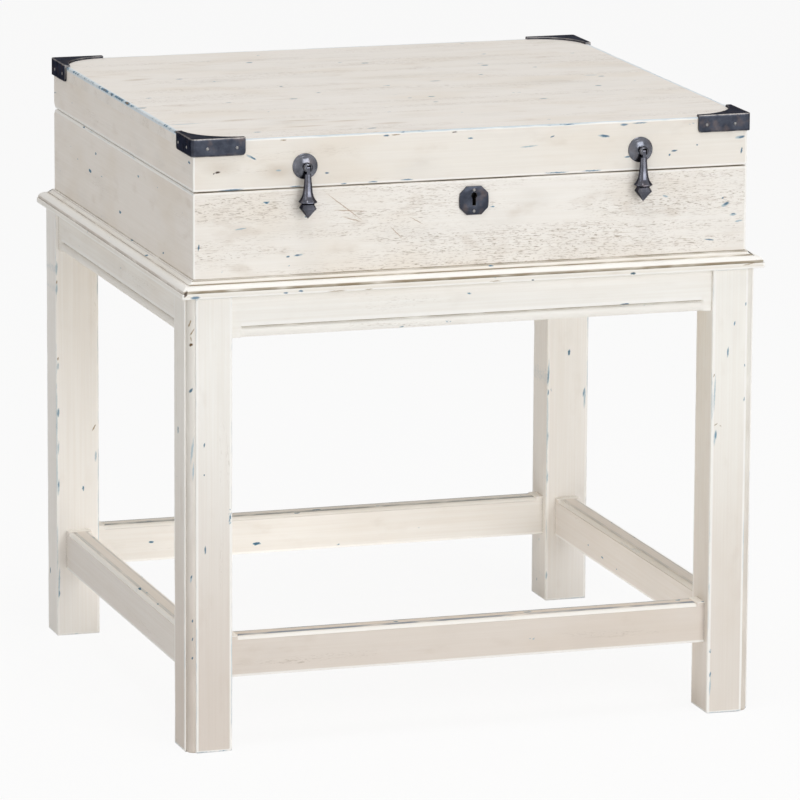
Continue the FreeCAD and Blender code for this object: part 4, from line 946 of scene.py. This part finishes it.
def bracket_half():
    """From a bracket's end to its corner in mm: the outer face, the way out and the flange's inner edge."""
    places = []
    for x in (BRACKET_LENGTH, 54.1, 53.2, 52.2, 51, 49, 46, 42, 38, 34, 30, 26, 22, meeting,
              15, 10, 5, CORNER_CENTRE):
        curve = BRACKET_LENGTH - math.sqrt(BRACKET_SWEEP ** 2 - (BRACKET_LENGTH - max(x, meeting)) ** 2)
        places.append((Vector((x, -BRACKET_METAL)), Vector((0, -1)), Vector((max(x, meeting), curve))))
    for angle in (255, 240, 225):
        out = Vector((math.cos(math.radians(angle)), math.sin(math.radians(angle))))
        centre = Vector((CORNER_CENTRE, CORNER_CENTRE))
        places.append((centre + out * CORNER_RADIUS, out, Vector((meeting, meeting))))
    return places


def bracket_ring(outer, out, inner):
    """The bracket's section at one place, as points in mm with their wear."""
    from_end = BRACKET_LENGTH - max(outer.x, outer.y)
    at_end = 0.35 if from_end == 0 else 0.0
    foot = -BRACKET_DROP + at_end
    if from_end < END_ROUNDING:
        foot += END_ROUNDING - math.sqrt(END_ROUNDING ** 2 - (END_ROUNDING - from_end) ** 2)
    face = outer - out * at_end
    top = BRACKET_METAL - at_end
    across = (face - inner).normalized()
    bend = BRACKET_BEND
    section = [
        (inner, 0, 0.4), (inner, top - 0.4, 0.8), (inner + across * 0.4, top, 0.8),
        (inner + across * 2.2, top, 0.0), (face - across * (bend + 2.4), top, 0.0),
        (face - across * bend, top, 0.9), (face - across * bend * 0.3, top - bend * 0.3, 1.0),
        (face, top - bend, 0.9), (face, top - bend - 2.2, 0.0), (face, foot + bend + 1.8, 0.0),
        (face, foot + bend, 0.7), (face - out * bend * 0.3, foot + bend * 0.3, 0.8),
        (face - out * bend, foot, 0.7), (face - out * BRACKET_METAL, foot, 0.0),
        (face - out * BRACKET_METAL, 0, 0.0),
    ]
    least = 0.8 if at_end else 0.0
    return [(Vector((place.x, place.y, height)), max(wear, least)) for place, height, wear in section]


half = bracket_half()
whole = half + [(outer.yx, out.yx, inner.yx) for outer, out, inner in reversed(half[:-1])]
for corner, turn in CORNER_TURNS.items():
    wood = Matrix.Translation(outer_corner(top_low, top_high, corner, top_high.z))
    seat = wood @ Matrix.Rotation(math.radians(turn), 4, "Z")
    rings, wears = [], []
    for outer, out, inner in whole:
        section = bracket_ring(outer, out, inner)
        points = []
        for point, _ in section:
            spot = seat @ (point * MM)
            if point.z < -BRACKET_DROP / 2:
                spot.z += UNEVEN * MM * noise.noise(spot * 60)
            points.append(spot)
        rings.append(points)
        wears.append([wear for _, wear in section])
    bracket = skin("iron_corner_" + corner, rings, wears)
    stand_for(bracket, "corner_bracket_" + corner, blackened_iron)
finish_node("bracket_nails", nail_iron)


# Pulls: on each side a turned rosette, a slotted stud through the board with a nut
# behind it, and a cast drop with eight flats that swings on a pin in the slot.

waxed_iron = blackened_iron_finish("waxed_iron", "#484951", "#666770", 0.35, 0.15, 0.22, 0.03, 0.4)
turned_iron = blackened_iron_finish("turned_iron", "#505259", "#7B7D85", 0.3, 0.15, 0.22, 0.02, 0.4)

POST_HOLE = 2.55
ROSETTE_RISE = 5.0
DOME_RADIUS = 24.1
# The rosette's section in mm, radius and height off the board: a shallow dome with one turned line
dome = [(radius, ROSETTE_RISE - DOME_RADIUS + math.sqrt(DOME_RADIUS ** 2 - radius ** 2))
        for radius in (13.0, 12.5, 11.9, 11.3, 11.05, 10.8, 10.55, 10, 9.2, 8.4, 7.6, 6.8, 6, 5.4, 4.9)]
dome[5] = (10.8, dome[5][1] - 0.15)
ROSETTE = [(POST_HOLE, 0), (13.2, 0), (13.2, 0.9), *dome,
           (4.5, 4.9), (4.3, ROSETTE_RISE), (POST_HOLE, ROSETTE_RISE)]
ROSETTE_STEPS = 56
rosette_turns = [2 * math.pi * step / ROSETTE_STEPS for step in range(ROSETTE_STEPS)]
# The drop in mm: its pivot's reach from the board, its tang, and where its neck begins below the pivot
PIVOT_REACH = 10.5
FLAT_SHARE = 0.84
TANG_HALF = 1.8
TANG_RADIUS = 2.6
TANG_BORE = 0.96
NECK_BELOW = 6.4
# The drop's rings in mm: how far below the pivot, and the widths across the flats and across the diagonals
FLARE = ((NECK_BELOW, 6.2, 6.2), (18.0, 7.8, 7.8), (26.5, 9.8, 9.8), (31.5, 13.4, 13.4), (34.4, 17.8, 17.8))
HEAD = ((34.6, 17.8, 17.8), (35.2, 17.8, 17.8), (35.4, 17.3, 17.3), (36.7, 12.6, 13.6), (37.2, 11.6, 13.2),
        (37.7, 12.0, 13.7), (41.0, 15.1, 18.2), (41.4, 15.4, 18.6), (41.8, 15.1, 18.2),
        (51.4, 1.2, 1.45), (52.0, 0.4, 0.5))


def flared(places, steps):
    """Smooth places between a few widths, as a founder's pattern is faired by eye."""
    ends = [places[0], *places, places[-1]]
    faired = []
    for a, b, c, d in zip(ends, ends[1:], ends[2:], ends[3:]):
        for step in range(steps):
            t = step / steps
            faired.append(tuple(
                0.5 * (2 * q + (r - p) * t + (2 * p - 5 * q + 4 * r - s) * t * t
                       + (3 * q - p - 3 * r + s) * t ** 3)
                for p, q, r, s in zip(a, b, c, d)))
    return faired


def flat_ring(across, diagonal):
    """A ring of eight flats with their arrises eased, as points in mm with their wear."""
    ring = []
    for flat in range(8):
        reach, beside = (across / 2, diagonal / 2) if flat % 2 == 0 else (diagonal / 2, across / 2)
        half_flat = beside * math.sqrt(2) - reach
        turn = Matrix.Rotation(math.pi * flat / 4, 2)
        ring.append((turn @ Vector((reach, -half_flat * FLAT_SHARE)), 0.3))
        ring.append((turn @ Vector((reach, half_flat * FLAT_SHARE)), 0.3))
        ring.append((turn @ Vector((reach, half_flat)) * 0.985, 0.75))
    return ring


def tang_ring(angles, x, bore):
    """A loop round the tang or its bore, at one side of it, in mm."""
    loop = []
    for angle in angles:
        way = Vector((0, math.cos(math.radians(angle)), math.sin(math.radians(angle))))
        reach = TANG_BORE if bore else TANG_RADIUS
        if way.z < 0 and not bore:
            reach = min(TANG_RADIUS / max(abs(way.y), 1e-6), (NECK_BELOW + 0.3) / -way.z)
        loop.append(Vector((x, 0, 0)) + way * reach)
    return loop


drop_stations = flared(FLARE, 5) + list(HEAD)
tang_foot = math.degrees(math.atan2(NECK_BELOW + 0.3, TANG_RADIUS))
tang_angles = sorted([15 * step for step in range(24)] + [180 + tang_foot, 360 - tang_foot])
board_low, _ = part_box("lid_front")
for side in ("left", "right"):
    low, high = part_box("pull_rosette_" + side)
    centre = (low + high) / 2
    centre.y = high.y
    rings = [[centre + Vector((radius * math.cos(turn), -out, radius * math.sin(turn))) * MM
              for turn in rosette_turns] for radius, out in ROSETTE]
    wears = [[0.3] * len(rosette_turns)] * len(ROSETTE)
    stand_for(skin("iron_rosette_" + side, rings, wears, hollow=True), "pull_rosette_" + side, turned_iron)
    softened("iron_stud_" + side, "pull_post_" + side, 0.2, turned_iron, rubbed_iron)
    finish_node("pull_pin_" + side, nail_iron)
    pin_low, pin_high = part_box("pull_pin_" + side)
    pivot = (pin_low + pin_high) / 2
    pivot.y = board_low.y - PIVOT_REACH * MM
    rings, wears = [], []
    for below, across, diagonal in drop_stations:
        flats = flat_ring(across, diagonal)
        rings.append([pivot + Vector((point.x, point.y, -below)) * MM for point, _ in flats])
        wears.append([wear for _, wear in flats])
    stand_for(skin("iron_drop_" + side, rings, wears), "pull_drop_" + side, waxed_iron)
    loops = [tang_ring(tang_angles, x, bore) for x, bore in
             ((TANG_HALF, True), (TANG_HALF, False), (-TANG_HALF, False), (-TANG_HALF, True))]
    tang = skin("iron_drop_tang_" + side, [[pivot + point * MM for point in loop] for loop in loops],
                [[0.4] * len(tang_angles)] * 4, hollow=True)
    tang.data.materials.append(waxed_iron)
    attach(tang, side + "_drop")
finish_node("pull_nuts", plain_steel)


# Lock plate: a thin iron plate with clipped corners and a keyhole, nailed to the
# box front over the hole for the key.

softened("iron_lock_plate", "escutcheon", 0.3, blackened_iron, rubbed_iron)
finish_node("escutcheon_nails", nail_iron)


# Floor: a plain white studio floor of matt paper that keeps the table's soft shadow.
# Nine tenths of its white show as they are, so the shadow is faint.

bpy.ops.mesh.primitive_plane_add(size=40, location=(0, 0, 0))
floor = bpy.context.object
floor.name = "studio_floor"


def seen_as_backdrop(tree):
    """1 for what the camera sees straight, in a mirror or through glass, and 0 for the light on things."""
    seen = add(tree, "LightPath", out="Is Camera Ray")
    rays = seen.node.outputs
    for kind in ("Is Glossy Ray", "Is Transmission Ray"):
        seen = add(tree, "Math", {0: seen, 1: rays[kind]}, operation="MAXIMUM")
    return seen


paper, paper_tree = new_material("white_paper")
matt = add(paper_tree, "BsdfDiffuse", {"Color": linear("#F2F2F2")})
glow = add(paper_tree, "Emission", {"Color": linear("#FFFFFF"), "Strength": 1.0})
bright = add(paper_tree, "Math", {0: seen_as_backdrop(paper_tree), 1: 0.9}, operation="MULTIPLY")
both = add(paper_tree, "MixShader", {0: bright, 1: matt, 2: glow})
add(paper_tree, "OutputMaterial", {"Surface": both})
floor.data.materials.append(paper)


# Light: a large soft lamp in front, one above, a narrow strip at each side that
# gives the iron its bright edges, a reflector on the floor, and a pale surround.

world = bpy.data.worlds.new("studio")
bpy.context.scene.world = world
world.use_nodes = True
sky = world.node_tree
sky.nodes.clear()
around = add(sky, "Background", {"Color": linear("#FFFDFA"), "Strength": 0.44})
backdrop = add(sky, "Background", {"Color": linear("#FFFFFF"), "Strength": 1.0})
blend = add(sky, "MixShader", {0: seen_as_backdrop(sky), 1: around, 2: backdrop})
add(sky, "OutputWorld", {"Surface": blend})

# Each lamp's place and aim in metres, its width and height, its power in watts and its tint
for name, place, aim, width, height, power, tint in (
    ("key_lamp", (1.3, -4.8, 1.7), (0, 0, 0.35), 2.6, 2.6, 85, "#FBFDFF"),
    ("top_lamp", (-0.35, -0.9, 3.9), (0, 0, 0.4), 1.6, 1.6, 36, "#FFFFFF"),
    ("left_strip", (-1.95, -0.8, 1.05), (0, 0, 0.6), 0.16, 2.0, 2.2, "#FFFFFF"),
    ("right_strip", (1.95, 0.38, 0.7), (0, 0, 0.6), 0.22, 1.3, 3.0, "#FFFFFF"),
    ("floor_reflector", (0, 0, 0.004), (0, 0, 1), 0.45, 0.45, 0.5, "#FFFFFF"),
):
    lamp = bpy.data.lights.new(name, "AREA")
    lamp.shape = "RECTANGLE"
    lamp.size = width
    lamp.size_y = height
    lamp.energy = power
    lamp.color = linear(tint)[:3]
    holder = bpy.data.objects.new(name, lamp)
    holder.location = place
    holder.rotation_euler = (Vector(aim) - Vector(place)).to_track_quat("-Z", "Y").to_euler()
    holder.visible_camera = False
    bpy.context.scene.collection.objects.link(holder)


# Camera: at the photograph's height and side, far off with a long lens.

lens = bpy.data.cameras.new("view")
lens.sensor_width = 36
lens.lens = 288.8
lens.clip_end = 100
camera = bpy.data.objects.new("view", lens)
aim = Vector((0.00914, -0.00424, 0.29456))
camera.location = Vector((-2.049, -6.385, 1.720))
turn = (aim - camera.location).to_track_quat("-Z", "Y").to_matrix()
camera.rotation_euler = (turn @ Matrix.Rotation(math.radians(0.32), 3, "Z")).to_euler()
bpy.context.scene.collection.objects.link(camera)
bpy.context.scene.camera = camera
bpy.context.scene.view_settings.view_transform = "Standard"
